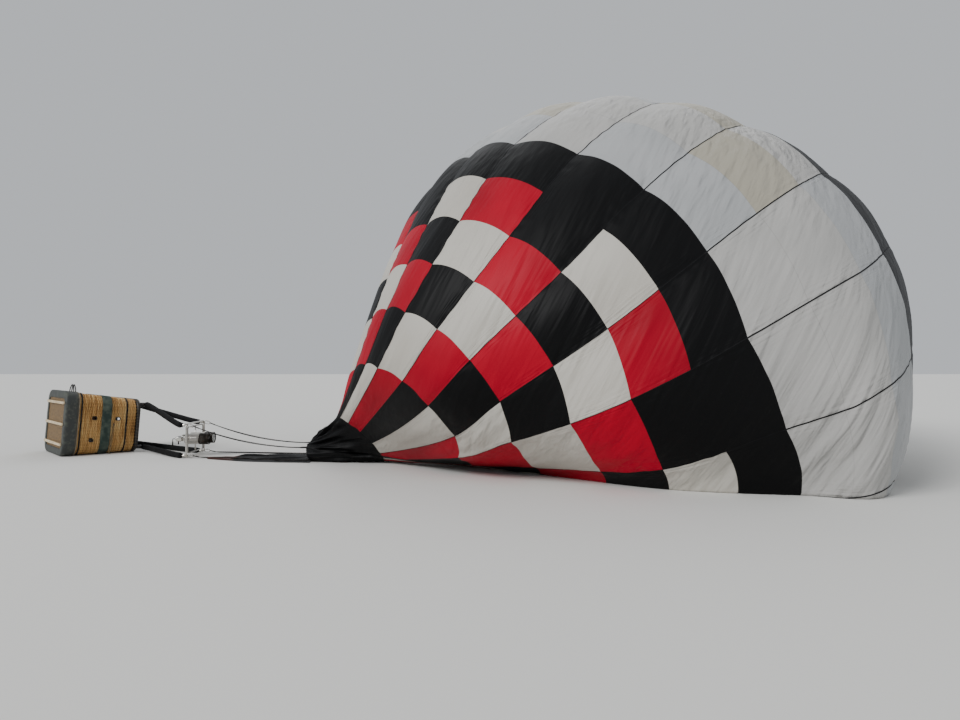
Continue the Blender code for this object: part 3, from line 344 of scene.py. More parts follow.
def makeObject(name, points, faces, materials):
    mesh = bpy.data.meshes.new(name)
    mesh.from_pydata(points, [], faces)
    mesh.validate()
    for mat in materials:
        mesh.materials.append(mat)
    mesh.polygons.foreach_set("use_smooth", [True] * len(mesh.polygons))
    thing = bpy.data.objects.new(name, mesh)
    bpy.context.scene.collection.objects.link(thing)
    return thing


def addPiece(name, parts, mat, body, slotName, *replaced):
    piece = makeObject(name, *joinParts(parts), [mat])
    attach(piece, body)
    if replaced:
        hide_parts(*replaced)
    return piece


def gridFaces(high, wide, closed):
    faces = []
    columns = wide if closed else wide - 1
    for i in range(high - 1):
        for j in range(columns):
            k = (j + 1) % wide
            faces.append((i * wide + j, i * wide + k, (i + 1) * wide + k, (i + 1) * wide + j))
    return faces


def pathFrames(path, closed=False):
    # directions across a path that turn as little as they can
    path = np.asarray(path, float)
    if closed:
        way = np.roll(path, -1, axis=0) - np.roll(path, 1, axis=0)
    else:
        way = np.gradient(path, axis=0)
    way /= np.linalg.norm(way, axis=1, keepdims=True) + 1e-12
    start = np.array([0.0, 0.0, 1.0]) if abs(way[0][2]) < 0.9 else np.array([1.0, 0.0, 0.0])
    side = np.cross(way[0], start)
    sides = []
    for step in way:
        side = side - step * side.dot(step)
        side = side / (np.linalg.norm(side) + 1e-12)
        sides.append(side)
    return np.array(sides), np.cross(way, sides)


def tubePart(path, radius, count=8, closed=False, ridge=None):
    # ridge(i, angle) is a factor on the radius
    path = np.asarray(path, float)
    sides, ups = pathFrames(path, closed)
    radii = np.broadcast_to(radius, (len(path),))
    angles = 2 * math.pi * np.arange(count) / count
    points = []
    for i in range(len(path)):
        for angle in angles:
            r = radii[i] * (ridge(i, angle) if ridge else 1.0)
            points.append(path[i] + sides[i] * (r * math.cos(angle)) + ups[i] * (r * math.sin(angle)))
    faces = gridFaces(len(path), count, True)
    last = (len(path) - 1) * count
    if closed:
        faces += [(last + j, last + (j + 1) % count, (j + 1) % count, j) for j in range(count)]
    else:
        faces += [tuple(range(count))[::-1], tuple(last + j for j in range(count))]
    return points, faces


def circlePath(centre, first, second, radius, count):
    # points of a circle in the plane of two directions
    angles = [2 * math.pi * k / count for k in range(count)]
    return [Vector(centre) + Vector(first) * (radius * math.cos(a)) + Vector(second) * (radius * math.sin(a))
            for a in angles]


def quarterArc(steps):
    # angles of a quarter turn after its start
    return [math.pi / 2 * k / steps for k in range(1, steps + 1)]


def roundedLoop(half, low, high, corner, radius, steps):
    # sides and heights round a box; corner is how far in the middles of the arcs lie
    loop = []
    for y, z, start in ((half - corner, high - corner, 0.0), (corner - half, high - corner, 90.0),
                        (corner - half, low + corner, 180.0), (half - corner, low + corner, 270.0)):
        for i in range(steps + 1):
            angle = math.radians(start + 90.0 * i / steps)
            loop.append((y + radius * math.cos(angle), z + radius * math.sin(angle)))
    return loop


def lathePart(profile, start, way, count=20):
    # profile of (distance along, radius) turned about the line from start along way
    start = np.asarray(start, float)
    way = np.asarray(way, float)
    side = np.cross(way, [0.0, 0.0, 1.0] if abs(way[2]) < 0.9 else [1.0, 0.0, 0.0])
    side = side / np.linalg.norm(side)
    up = np.cross(way, side)
    points = []
    for d, r in profile:
        for j in range(count):
            angle = 2 * math.pi * j / count
            points.append(start + way * d + side * (r * math.cos(angle)) + up * (r * math.sin(angle)))
    return points, gridFaces(len(profile), count, True)


# The envelope's sections, as the solids have them.  foot and crest are the distances
# along the axis of the section's bottom and top, bow how far its middle stands ahead
# of them, tape the tape's number on the crest, full the gores that lie unfolded.
envelope = {
    "gores": 24,
    "turnDeg": 34.5,
    "rows": 16,
    "facets": 20,
    "rowSteps": 14,
    "bulgeLift": 0.5,
    "unfolded": 0.86,
    "sections": [
        # row   foot   crest   top   belly  half   gore   side    bow    tape   full
        (0.0,   0.07,  -0.72,  0.78,  0.39,  0.38,  0.19,  0.97,   0.00, -2.30,  4.35),
        (1.0,   0.91,  -0.82,  1.64,  0.83,  1.16,  0.45, -0.36,  -0.40, -1.91,  7.03),
        (2.0,   1.35,  -0.66,  2.44,  1.09,  1.64,  0.58, -0.72,  -0.39, -1.96,  5.96),
        (4.0,   1.89,   0.11,  3.79,  0.89,  3.23,  0.92, -0.63,  -0.12, -1.89,  5.90),
        (6.0,   2.91,   1.26,  5.16,  0.65,  4.79,  1.23, -0.19,  -0.06, -1.86,  5.54),
        (8.0,   3.62,   2.96,  6.24,  1.06,  5.98,  1.43,  0.26,   0.16, -1.90,  6.30),
        (10.0,  5.62,   4.82,  6.16,  2.22,  5.20,  1.43,  0.18,   0.24, -1.22,  6.94),
        (12.0,  7.53,   6.80,  5.74,  2.56,  4.18,  1.30,  0.29,   0.13, -0.90,  7.20),
        (14.0,  8.88,   8.72,  5.07,  2.71,  2.73,  0.92,  0.21,   0.04, -0.64,  7.26),
        (15.0,  9.42,   9.55,  4.53,  2.67,  1.93,  0.64,  0.16,  -0.02, -0.55,  7.24),
        (16.0,  9.91,  10.26,  3.88,  2.59,  1.18,  0.32,  0.05,   0.00, -0.45,  7.21),
    ],
    # how far a gore puffs out between its tapes, by gores from the crest
    "bulges": [(0.0, 0.065), (2.3, 0.055), (3.3, 0.040), (4.3, 0.015), (12.0, 0.015)],
    # how far slack carries the seams of each tape toward the crown, and on which rows
    "leads": [(-3.0, 0.0), (-1.0, -0.055), (0.0, 0.076), (1.0, 0.142), (2.0, 0.119), (3.0, -0.179),
              (4.0, -0.080), (5.0, 0.189), (7.0, 0.0)],
    "leadRows": [(0.0, 0.0), (1.0, 1.0), (6.0, 1.0), (8.0, 0.0), (16.0, 0.0)],
}
mouth = {
    "at": (-1.72, 1.28),
    "turnDeg": 4.0,
    "half": 0.58,
    "top": 0.28,
    "belly": 0.12,
    "lean": -0.10,
    "steps": 26,
    "foldMetres": 0.030,
    "folds": 13,          # round the band, with finer pleats between them
    "pleats": 29,
    "hemRadius": 0.007,
}


def graded(table, value):
    return np.interp(value, [a for a, b in table], [b for a, b in table])


def sectionAt(row):
    table = envelope["sections"]
    last = len(table) - 2
    i = max(0, min(last, sum(1 for s in table[1:] if row >= s[0])))
    before = table[max(0, i - 1)]
    start = table[i]
    end = table[i + 1]
    after = table[min(last + 1, i + 2)]
    span = end[0] - start[0]
    t = (row - start[0]) / span
    values = []
    for c in range(1, len(start)):
        slopeIn = (end[c] - before[c]) / (end[0] - before[0])
        slopeOut = (after[c] - start[c]) / (after[0] - start[0])
        values.append((2 * t ** 3 - 3 * t ** 2 + 1) * start[c] + (t ** 3 - 2 * t ** 2 + t) * span * slopeIn
                      + (3 * t ** 2 - 2 * t ** 3) * end[c] + (t ** 3 - t ** 2) * span * slopeOut)
    return values


def halfOutline(top, belly, half, steps=160):
    # arc lengths, sides and heights down the near side of a section cut flat by the ground
    radius = top - belly
    first = math.acos(max(-0.98, min(1.0, belly / radius)))
    angles = math.pi - (math.pi - first) * np.arange(steps + 1) / steps
    side = -half * np.sin(angles)
    height = belly - radius * np.cos(angles)
    run = np.concatenate([[0.0], np.cumsum(np.hypot(np.diff(side), np.diff(height)))])
    dome = run[-1]
    run = np.append(run, dome + max(abs(side[-1]), 1e-6))
    side = np.append(side, 0.0)
    height = np.append(height, height[-1])
    return run, side, height, dome


def tapeFromCrest(tape, crestTape):
    half = envelope["gores"] / 2
    return (tape - crestTape + half) % envelope["gores"] - half


def ringShape(shape, gore, full, fromCrest):
    # side and height for an array of gore distances from the crest
    run, side, height, dome = shape
    distance = np.abs(fromCrest) * gore
    halfGirth = envelope["gores"] / 2 * gore
    whole = run[-1]
    kept = min(dome, full * gore, envelope["unfolded"] * whole)
    slack = kept + (distance - kept) * (whole - kept) / (halfGirth - kept)
    distance = np.where(distance > kept, slack, distance)
    y = np.interp(distance, run, side)
    z = np.interp(distance, run, height)
    return np.where(fromCrest < 0, -y, y), z


def clothRings(rows, facets):
    # rings of points of the envelope, each gore puffed out between its tapes
    count = envelope["gores"] * facets
    tapes = np.arange(count) / facets
    share = (np.arange(count) % facets) / facets
    turn = math.radians(envelope["turnDeg"])
    rings = []
    for row in rows:
        foot, crest, top, belly, half, gore, off, bow, crestTape, full = sectionAt(row)
        shape = halfOutline(top, belly, half)
        fromCrest = tapeFromCrest(tapes, crestTape)
        y, z = ringShape(shape, gore, full, fromCrest)
        low = shape[2][-1]
        outY = -(np.roll(z, -1) - np.roll(z, 1))
        outZ = np.roll(y, -1) - np.roll(y, 1)
        length = np.hypot(outY, outZ) + 1e-9
        flip = np.where(outY * y + outZ * (z - belly) < 0, -1.0, 1.0)
        lift = np.clip((z - low) / (envelope["bulgeLift"] * gore), 0.0, 1.0)
        bulge = graded(envelope["bulges"], np.abs(fromCrest))
        puff = bulge * gore * 4.0 * share * (1.0 - share) * lift * flip / length
        y = y + outY * puff
        z = z + outZ * puff
        rise = z / top
        forward = foot + (crest - foot) * rise + bow * 4.0 * rise * (1.0 - rise)
        lead = graded(envelope["leads"], fromCrest + crestTape)
        forward = forward + lead * graded(envelope["leadRows"], row) * lift
        y = y + off
        x = forward * math.cos(turn) - y * math.sin(turn)
        yWorld = forward * math.sin(turn) + y * math.cos(turn)
        rings.append(np.stack([x + neckFoot.x, yWorld + neckFoot.y, np.maximum(z, 0.0)], axis=1))
    return np.array(rings)


def mouthRing(facets):
    count = envelope["gores"] * facets
    tapes = np.arange(count) / facets
    shape = halfOutline(mouth["top"], mouth["belly"], mouth["half"])
    gore = shape[0][-1] / (envelope["gores"] / 2)
    crestTape = envelope["sections"][0][9]
    y, z = ringShape(shape, gore, envelope["gores"], tapeFromCrest(tapes, crestTape))
    forward = mouth["lean"] * z / mouth["top"]
    turn = math.radians(mouth["turnDeg"])
    x = forward * math.cos(turn) - y * math.sin(turn) + mouth["at"][0] + neckFoot.x
    yWorld = forward * math.sin(turn) + y * math.cos(turn) + mouth["at"][1] + neckFoot.y
    return np.stack([x, yWorld, np.maximum(z, 0.0)], axis=1)


def ringNormals(rings):
    across = np.roll(rings, -1, axis=1) - np.roll(rings, 1, axis=1)
    onward = np.gradient(rings, axis=0)
    normal = np.cross(across, onward)
    normal /= np.linalg.norm(normal, axis=2, keepdims=True) + 1e-12
    middle = rings.mean(axis=1, keepdims=True)
    facing = np.sum(normal * (rings - middle), axis=2, keepdims=True)
    return np.where(facing < 0, -normal, normal)


def loopPlaces(high, wide, facets, first=0):
    # the place of each face corner of a grid, in gores and rows
    return [(first + (j + dj) / facets, i + di) for i in range(high) for j in range(wide)
            for di, dj in ((0, 0), (0, 1), (1, 1), (1, 0))]


def clothPiece(name, points, faces, uvs, kinds, materials, node, slotName, body="balloon", **cut):
    # kinds has each face's material, uvs the place of each face corner in gores and rows
    piece = makeObject(name, [tuple(p) for p in points], faces, materials)
    layer = piece.data.uv_layers.new(name="gores")
    layer.data.foreach_set("uv", np.array(uvs, float).ravel())
    piece.data.polygons.foreach_set("material_index", kinds)
    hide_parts(node)
    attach(piece, body)


# The pattern: three kinds of gore repeat round the envelope through the first five rows
pattern = {
    2: ["white", "black", "red", "black", "white"],
    0: ["red", "white", "black", "white", "red"],
    1: ["black", "red", "white", "red", "black"],
}


def cellColour(cell, gore):
    # cell counts seams from the mouth, gore from the tape that is number nought
    if cell < 5:
        return pattern[gore % 3][cell]
    if cell == 5 or cell > 8:
        return "black"
    place = gore % envelope["gores"]
    if place in (2, 23, 20):
        return ("grey", "beige", "pale")[cell - 6]
    if place in (1, 22, 19):
        return ("grey", "pale", "beige")[cell - 6]
    return ("pale", "pale", "grey")[cell - 6]


folds = {
    "hang": 0.060,        # metres, broad folds that hang off the crest
    "slack": 0.044,       # narrower ones between them
    "lowFrom": 2.8,       # height under which the slack gathers
    "gather": 0.020,      # short folds beside the tapes
    "lean": 0.42,
}


def clothFolds(rings, normals, steps, facets):
    # slack that the cloth really has, moved in the mesh
    use = folds
    moved = rings.copy()
    for i in range(rings.shape[0]):
        row = i / steps
        for j in range(rings.shape[1]):
            x, y, z = rings[i, j]
            if z < 0.015:
                continue
            low = min(1.0, max(0.0, 1.0 - z / use["lowFrom"]))
            right = min(1.0, max(0.0, (row - 3.5) / 4.0))
            across = x * 0.9 + y * 0.3 - z * use["lean"]
            broad = noise.noise((across * 1.6, y * 0.6, z * 0.25))
            narrow = noise.noise((across * 4.8 + 9.0, y * 1.3, z * 0.45))
            sharp = 1.0 - abs(2.0 * noise.noise((across * 3.3 + 31.0, y, z * 0.35 + 7.0)))
            amount = use["hang"] * (0.25 + 1.0 * low * (0.4 + 0.6 * right)) * broad
            amount += use["slack"] * (0.25 + 1.2 * low * (0.35 + 0.65 * right)) * narrow
            amount += use["slack"] * low * right * max(0.0, sharp - 0.5) * 1.4
            share = (j % facets) / facets
            amount *= 0.12 + 0.88 * math.sin(math.pi * share) ** 0.7
            beside = math.exp(-((share - 0.04) / 0.07) ** 2) + math.exp(-((share - 0.96) / 0.07) ** 2)
            amount += use["gather"] * beside * noise.noise((x * 7.0, y * 7.0, z * 7.0)) * min(1.0, row / 2.0)
            moved[i, j] += normals[i, j] * amount * min(1.0, z / 0.20)
    moved[:, :, 2] = np.maximum(moved[:, :, 2], 0.0)
    return moved


# each panel's cut: three gores at the widest, the length down its middle, and its area.
# Panels 3 to 5 lie slack under the rest, and their real cuts are 38.9, 36.7 and 47.8.
# Their rows here give the cloth that the mesh has, which is about half of that.
panelCuts = [
    # width   length   area   held
    (4.35, 16.6, 48.4, "stretched"),
    (4.35, 16.4, 47.9, "stretched"),
    (3.52, 13.2, 19.4, "laid"),
    (3.52, 12.0, 18.2, "laid"),
    (3.52, 15.3, 18.4, "laid"),
    (4.35, 18.1, 57.2, "stretched"),
    (4.35, 16.7, 52.5, "stretched"),
    (4.35, 16.4, 49.7, "stretched"),
]


def makeEnvelope():
    facets = envelope["facets"]
    steps = envelope["rowSteps"]
    rows = [i / steps for i in range(envelope["rows"] * steps + 1)]
    plain = clothRings(rows, facets)
    rings = clothFolds(plain, ringNormals(plain), steps, facets)
    perPanel = 3 * facets
    count = envelope["gores"] * facets
    materials = [clothMaterials[c] for c in clothOrder]
    wide = perPanel + 1
    faces = gridFaces(len(rows), wide, False)
    for panel in range(8):
        points = []
        for i in range(len(rows)):
            for j in range(wide):
                points.append(rings[i, (panel * perPanel + j) % count])
        uvs = [(gore, i / steps) for gore, i in loopPlaces(len(rows) - 1, perPanel, facets, panel * 3)]
        kinds = [clothOrder.index(cellColour(int(i / steps), panel * 3 + j // facets + 1))
                 for i in range(len(rows) - 1) for j in range(perPanel)]
        width, length, area, held = panelCuts[panel]
        below = "envelopePanel%d" % (panel if panel > 3 else panel + 2)
        clothPiece("envelopePanel%d" % (panel + 1), points, faces, uvs, kinds, materials,
                   "gore_panel_%d" % (panel + 1), ("fabric_red", "fabric_white", "fabric_black")[panel % 3],
                   flat=(width, length), held=held, rests_on=[below], area=area)
    return rings


skinRings = makeEnvelope()
print("envelope cloth made")


loadTape = {
    "halfWide": 0.009,
    "halfNarrow": 0.004,
    "lift": 0.004,
}
tapeWebbing = polyesterWebbing("polyesterLoadTape", "0A0A0C", "18181B")


def makeLoadTapes(rings):
    # woven tapes sewn over the gore seams, that show over the pale cloth
    facets = envelope["facets"]
    steps = envelope["rowSteps"]
    normals = ringNormals(rings)
    points = []
    faces = []
    for gore in range(envelope["gores"]):
        j = gore * facets
        base = len(points)
        for i in range(rings.shape[0]):
            along = rings[min(i + 1, rings.shape[0] - 1), j] - rings[max(i - 1, 0), j]
            normal = normals[i, j]
            across = np.cross(normal, along)
            across /= np.linalg.norm(across) + 1e-12
            half = loadTape["halfWide"] if 6.0 <= i / steps <= 9.0 else loadTape["halfNarrow"]
            lift = normal * loadTape["lift"]
            points.append(rings[i, j] + lift - across * half)
            points.append(rings[i, j] + lift + across * half)
        for i in range(rings.shape[0] - 1):
            a = base + 2 * i
            faces.append((a, a + 1, a + 3, a + 2))
    addPiece("loadTapes", [(points, faces)], tapeWebbing, "balloon", "fabric_black")


makeLoadTapes(skinRings)


def makeMouth(rings):
    # the black mouth band, gathered into deep folds round the wires
    facets = envelope["facets"]
    lip = mouthRing(facets)
    steps = mouth["steps"]
    band = np.array([lip + (rings[0] - lip) * i / steps for i in range(steps + 1)])
    normals = ringNormals(band)
    rnd = random.Random(7)
    phase = [rnd.uniform(0, 6.28) for _ in range(4)]
    count = band.shape[1]
    for i in range(steps):
        for j in range(count):
            x, y, z = band[i, j]
            if z < 0.01:
                continue
            angle = 2 * math.pi * j / count
            wave = math.sin(mouth["folds"] * angle + phase[0] + 1.4 * math.sin(i * 0.16))
            wave += 0.6 * math.sin(mouth["pleats"] * angle + phase[1] + i * 0.2)
            wave += 0.8 * noise.noise((x * 6, y * 6, z * 6))
            fade = math.sin(math.pi * i / steps) * 0.8 + 0.25 * (1 - i / steps)
            band[i, j] += normals[i, j] * mouth["foldMetres"] * wave * fade * min(1.0, z / 0.06)
    band[:, :, 2] = np.maximum(band[:, :, 2], 0.0)
    faces = gridFaces(steps + 1, count, True)
    uvs = [(gore, i / steps) for gore, i in loopPlaces(steps, count, facets)]
    clothPiece("mouthBand", band.reshape(-1, 3), faces, uvs, [0] * len(faces), [clothMaterials["black"]],
               "mouth_band", "fabric_black",
               flat=(3.2, 1.37), held="gathered", rests_on=["envelopePanel1"], area=3.2)
    hem = tubePart(band[0], mouth["hemRadius"], 6, closed=True)
    addPiece("mouthHem", [hem], tapeWebbing, "balloon", "fabric_black")


makeMouth(skinRings)
print("mouth made")


# The scoop: a tongue of cloth that lies crumpled on the ground, brown at its tip
scoop = {
    "reach": 1.88,
    "brownFrom": 0.73,
    "outline": [
        # share of the reach   near edge   far edge
        (0.00, -0.60, 0.60),
        (0.30, -0.52, 0.66),
        (0.62, -0.36, 0.52),
        (0.86, -0.12, 0.24),
        (1.00, 0.03, 0.09),
    ],
    "crumple": 0.040,
    "long": 90,
    "wide": 60,
}


def makeScoop():
    turn = Matrix.Rotation(math.radians(mouth["turnDeg"]), 3, "Z")
    shares = [s for s, a, b in scoop["outline"]]
    points = []
    uvs = []
    for i in range(scoop["long"] + 1):
        share = i / scoop["long"]
        near = float(np.interp(share, shares, [a for s, a, b in scoop["outline"]]))
        far = float(np.interp(share, shares, [b for s, a, b in scoop["outline"]]))
        for j in range(scoop["wide"] + 1):
            t = j / scoop["wide"]
            flat = turn @ Vector((-0.002 - share * (scoop["reach"] - 0.01), near + (far - near) * t, 0.0))
            spot = flat + neckFoot + Vector((*mouth["at"], 0.0))
            edge = min(1.0, 6.0 * min(t, 1.0 - t)) * min(1.0, 8.0 * share + 0.3)
            # folds run lengthwise, as cloth pulled in by its width lies
            across = (near + (far - near) * t) + 0.05 * noise.noise((share * 3.0, t * 2.0, 1.0))
            crease = 0.5 + 0.9 * noise.noise((share * 2.4, across * 9.0, 3.0))
            small = noise.noise((share * 9.0, across * 24.0, 8.0))
            height = scoop["crumple"] * edge * (0.12 + max(0.0, crease) ** 1.5 + 0.10 * small)
            points.append((spot.x, spot.y, 0.003 + max(0.0, height)))
            uvs.append((t, share))
    wide = scoop["wide"] + 1
    faces = gridFaces(scoop["long"] + 1, wide, False)
    kinds = [1 if (face[0] // wide) / scoop["long"] > scoop["brownFrom"] else 0 for face in faces]
    loopUvs = [uvs[v] for face in faces for v in face]
    clothPiece("scoopCloth", points, faces, loopUvs, kinds,
               [clothMaterials["black"], clothMaterials["brown"]], "scoop", "fabric_black",
               flat=(1.22, 2.0), held="laid", rests_on=["mouthBand"], area=1.67)


makeScoop()
print("scoop made")


# The basket, on its side; x runs from its base to its rim, y across, z up
basketShape = {
    "at": (-6.74, 1.945),
    "turnDeg": 41.8,
    "height": 1.19,
    "width": 1.47,
    "depth": 1.16,
    "drawIn": 0.09,        # of each wall from the base to the rim
    "corner": 0.22,
    "wall": 0.028,
    "trim": 0.012,
    "gap": 0.0003,
}
pitch = math.atan(basketShape["drawIn"] / basketShape["height"])
basketTurn = math.radians(basketShape["turnDeg"])
basketPlace = (
    Matrix.Translation(neckFoot + Vector((
        *basketShape["at"], (basketShape["trim"] + basketShape["gap"]) * math.cos(pitch))))
    @ Matrix.Rotation(basketTurn, 4, "Z") @ Matrix.Rotation(pitch, 4, "Y")
)


def inBasket(part):
    points, faces = part
    return [tuple(basketPlace @ Vector(p)) for p in points], faces


def drawIn(x):
    return basketShape["drawIn"] * max(0.0, x) / basketShape["height"]


def basketRing(x, offset, count):
    # evenly spaced points of the rounded wall at height x, with their outward directions
    use = basketShape
    half = use["width"] / 2 + offset
    low = drawIn(x) - offset
    high = use["depth"] - drawIn(x) + offset
    radius = max(0.02, use["corner"] + offset)
    line = roundedLoop(half, low, high, radius, radius, 12)
    line = np.array(line + line[:1])
    run = np.concatenate([[0.0], np.cumsum(np.linalg.norm(np.diff(line, axis=0), axis=1))])
    wanted = np.arange(count) * run[-1] / count
    y = np.interp(wanted, run, line[:, 0])
    z = np.interp(wanted, run, line[:, 1])
    wayY = np.roll(y, -1) - np.roll(y, 1)
    wayZ = np.roll(z, -1) - np.roll(z, 1)
    length = np.hypot(wayY, wayZ)
    ring = np.stack([np.full(count, x), y, z], axis=1)
    out = np.stack([np.zeros(count), wayZ / length, -wayY / length], axis=1)
    return ring, out


def basketSweep(profile, count=240, wobble=0.0, waves=5.0, seed=0.0):
    # a closed profile of (height, offset) carried round the basket, a little uneven
    rings = []
    for x, offset in profile:
        ring, out = basketRing(x, offset, count)
        if wobble:
            for k in range(count):
                p = ring[k] * waves
                ring[k] += out[k] * wobble * abs(noise.noise((p[0] + seed, p[1], p[2])))
                ring[k][0] += wobble * noise.noise((p[1], p[2] + seed, 3.0))
        rings.append(ring)
    points = np.concatenate(rings)
    faces = gridFaces(len(profile), count, True)
    last = (len(profile) - 1) * count
    for j in range(count):
        k = (j + 1) % count
        faces.append((last + j, last + k, k, j))
    return inBasket((points, faces))


def basketSpace(tree, place):
    return addNode(tree, "Mapping", {
        "Vector": place, "Location": basketPlace.translation, "Rotation": (0.0, pitch, basketTurn),
    }, vector_type="TEXTURE")


# Varnished buff willow: each rod its own honey or brown, fine grain, a thin gloss
willowSettings = {
    "rodMm": 15.0,
    "rodLengthMm": 384.6,       # of one tone
    "patchMm": 555.6,
    "grainMm": 2.381,
    "grainLengthMm": 25.0,
}


def buffWillow(name, darkHex, midHex, paleHex, gloss=0.35):
    use = willowSettings
    mat, tree, place = startMaterial(name)
    local = basketSpace(tree, place)
    along = 1000 / use["rodLengthMm"]
    drawn = addNode(tree, "Mapping", {"Vector": local, "Scale": (1000 / use["rodMm"], along, along)})
    rods = addNode(tree, "TexNoise", {"Vector": drawn, "Scale": 1.0, "Roughness": 0.6})
    patches = addNode(tree, "TexNoise", {"Vector": local, "Scale": 1000 / use["patchMm"], "Detail": 4.0})
    along = 1000 / use["grainLengthMm"]
    drawn = addNode(tree, "Mapping", {"Vector": local, "Scale": (1000 / use["grainMm"], along, along)})
    grain = addNode(tree, "TexNoise", {"Vector": drawn, "Scale": 1.0, "Detail": 3.0, "Roughness": 0.6})
    byRod = addNode(tree, "Math", {0: rods, 1: 0.65}, operation="MULTIPLY")
    byPatch = addNode(tree, "Math", {0: patches, 1: 0.35}, operation="MULTIPLY")
    both = addNode(tree, "Math", {0: byRod, 1: byPatch}, operation="ADD")
    stops = [(0.36, darkHex), (0.50, midHex), (0.64, paleHex)]
    return finishMaterial(mat, {
        "Base Color": addNode(tree, "ValToRGB", {0: both}, stops=stops),
        "Normal": addNode(tree, "Bump", {"Height": grain, "Strength": 0.3, "Distance": 0.0012}),
        "Roughness": addNode(tree, "MapRange", {0: rods, 1: 0.3, 2: 0.7, 3: 0.40, 4: 0.62}),
        "Specular IOR Level": gloss,
    })


# Base panel of chair cane: brown strands that cross over and under, drawn 24 mm wide
def wovenCane(name, darkHex, paleHex, strandMm=24.0, fadeMm=38.46):
    mat, tree, place = startMaterial(name)
    local = basketSpace(tree, place)
    waves = []
    for axis in ("Y", "Z"):
        run = addNode(tree, "SeparateXYZ", {0: local}, axis)
        phase = addNode(tree, "Math", {0: run, 1: math.pi * 1000 / strandMm}, operation="MULTIPLY")
        waves.append(addNode(tree, "Math", {0: phase}, operation="SINE"))
    weave = addNode(tree, "Math", {0: waves[0], 1: waves[1]}, operation="MULTIPLY")
    slight = addNode(tree, "Math", {0: weave, 1: 0.18}, operation="MULTIPLY")
    fade = addNode(tree, "TexNoise", {"Vector": local, "Scale": 1000 / fadeMm, "Detail": 4.0})
    tone = addNode(tree, "Math", {0: slight, 1: fade}, operation="ADD")
    return finishMaterial(mat, {
        "Base Color": addNode(tree, "ValToRGB", {0: tone}, stops=[(0.35, darkHex), (0.72, paleHex)]),
        "Normal": addNode(tree, "Bump", {"Height": weave, "Strength": 0.9, "Distance": 0.006}),
        "Roughness": 0.6,
    })


# Ash runner: straight open grain along its length, bleached, dirt in the pores
def ashWood(name, darkHex, paleHex, grainMm=11.11, grainLengthMm=416.7):
    mat, tree, place = startMaterial(name)
    size = (1000 / grainMm, 1000 / grainLengthMm, 1000 / grainMm)
    drawn = addNode(tree, "Mapping", {"Vector": basketSpace(tree, place), "Scale": size})
    grain = addNode(tree, "TexNoise", {
        "Vector": drawn, "Scale": 1.0, "Detail": 5.0, "Roughness": 0.55, "Distortion": 0.4,
    })
    return finishMaterial(mat, {
        "Base Color": addNode(tree, "ValToRGB", {0: grain}, stops=[(0.34, darkHex), (0.60, paleHex)]),
        "Normal": addNode(tree, "Bump", {"Height": grain, "Strength": 0.3, "Distance": 0.0015}),
        "Roughness": 0.62,
    })


willow = buffWillow("buffWillow", "845A2C", "C49556", "E4C488")
# a dark, dull copy of the willow: painted shade for the sheet inside the weave
willowPaintedShade = buffWillow("buffWillowShadowed", "1A1008", "26180C", "3A2614", gloss=0.1)
cane = wovenCane("wovenCane", "4A351C", "957748")
ash = ashWood("ashWood", "B9A27C", "DDCDAE")
hideGrey = chromeTannedHide("chromeTannedHideGrey", "2A2E2C", "565A50", 0.60, 0.62)
hideBlack = chromeTannedHide("chromeTannedHideBlack", "0E0D0D", "3B3532", 0.45, 0.66)
hidePiping = chromeTannedHide("chromeTannedHidePale", "7E7563", "A79F8C", 0.6)
tealWebbing = polyesterWebbing("polyesterWebbingTeal", "2C3A35", "566055")
strapWebbing = polyesterWebbing("polyesterWebbingBlack", "0E0E10", "2C2B2A")
blackRope = laidCord("laidNylonRopeBlack", "0B0B0D", "26262A")
tanCord = laidCord("laidWaxedCord", "4A3D26", "7B6B47")
polished = stainlessSteel("stainlessSteelPolished", "D6D4CF", 0.14, "C2BDB4")
milled = stainlessSteel("stainlessSteelMilled", "A9A7A2", 0.34, "8E8B86")
burnt = stainlessSteel("stainlessSteelBurnt", "3C3833", 0.50, "15120F")
sleeveNylon = texturedNylon("texturedNylonSleeve", "060607", "141415")

wicker = {
    "stakes": 76,             # about 62 mm apart
    "stakeRadius": 0.0055,
    "perStake": 3,
    "pitch": 0.0150,
    "radius": 0.0062,
    "middle": -0.0112,        # of the weave from the wall's outside
    "swing": 0.0075,
    # offset of the dark sheet of painted shade inside the weave
    "paintedShadeOffset": -0.0185,
    "paintedShadeRows": 60,
    "bindingRadius": 0.006,
    # dark steps for the feet in the near wall: height, level, half sizes
    "holes": [(0.472, 0.698, 0.036, 0.026), (0.867, 0.700, 0.036, 0.026), (0.443, 0.295, 0.034, 0.024)],
}


def inHole(x, y, z, grow=0.0):
    if y > -basketShape["width"] / 2 + 0.05:
        return False
    for hx, hz, a, b in wicker["holes"]:
        if ((x - hx) / (a + grow)) ** 4 + ((z - hz) / (b + grow)) ** 4 < 1.0:
            return True
    return False


def tubeRuns(line, kept, radius, count, least=2):
    # tubes along the stretches of a line that are kept
    parts = []
    run = []
    for point, stays in list(zip(line, kept)) + [(None, False)]:
        if stays:
            run.append(point)
        else:
            if len(run) >= least:
                parts.append(tubePart(run, radius, count))
            run = []
    return parts


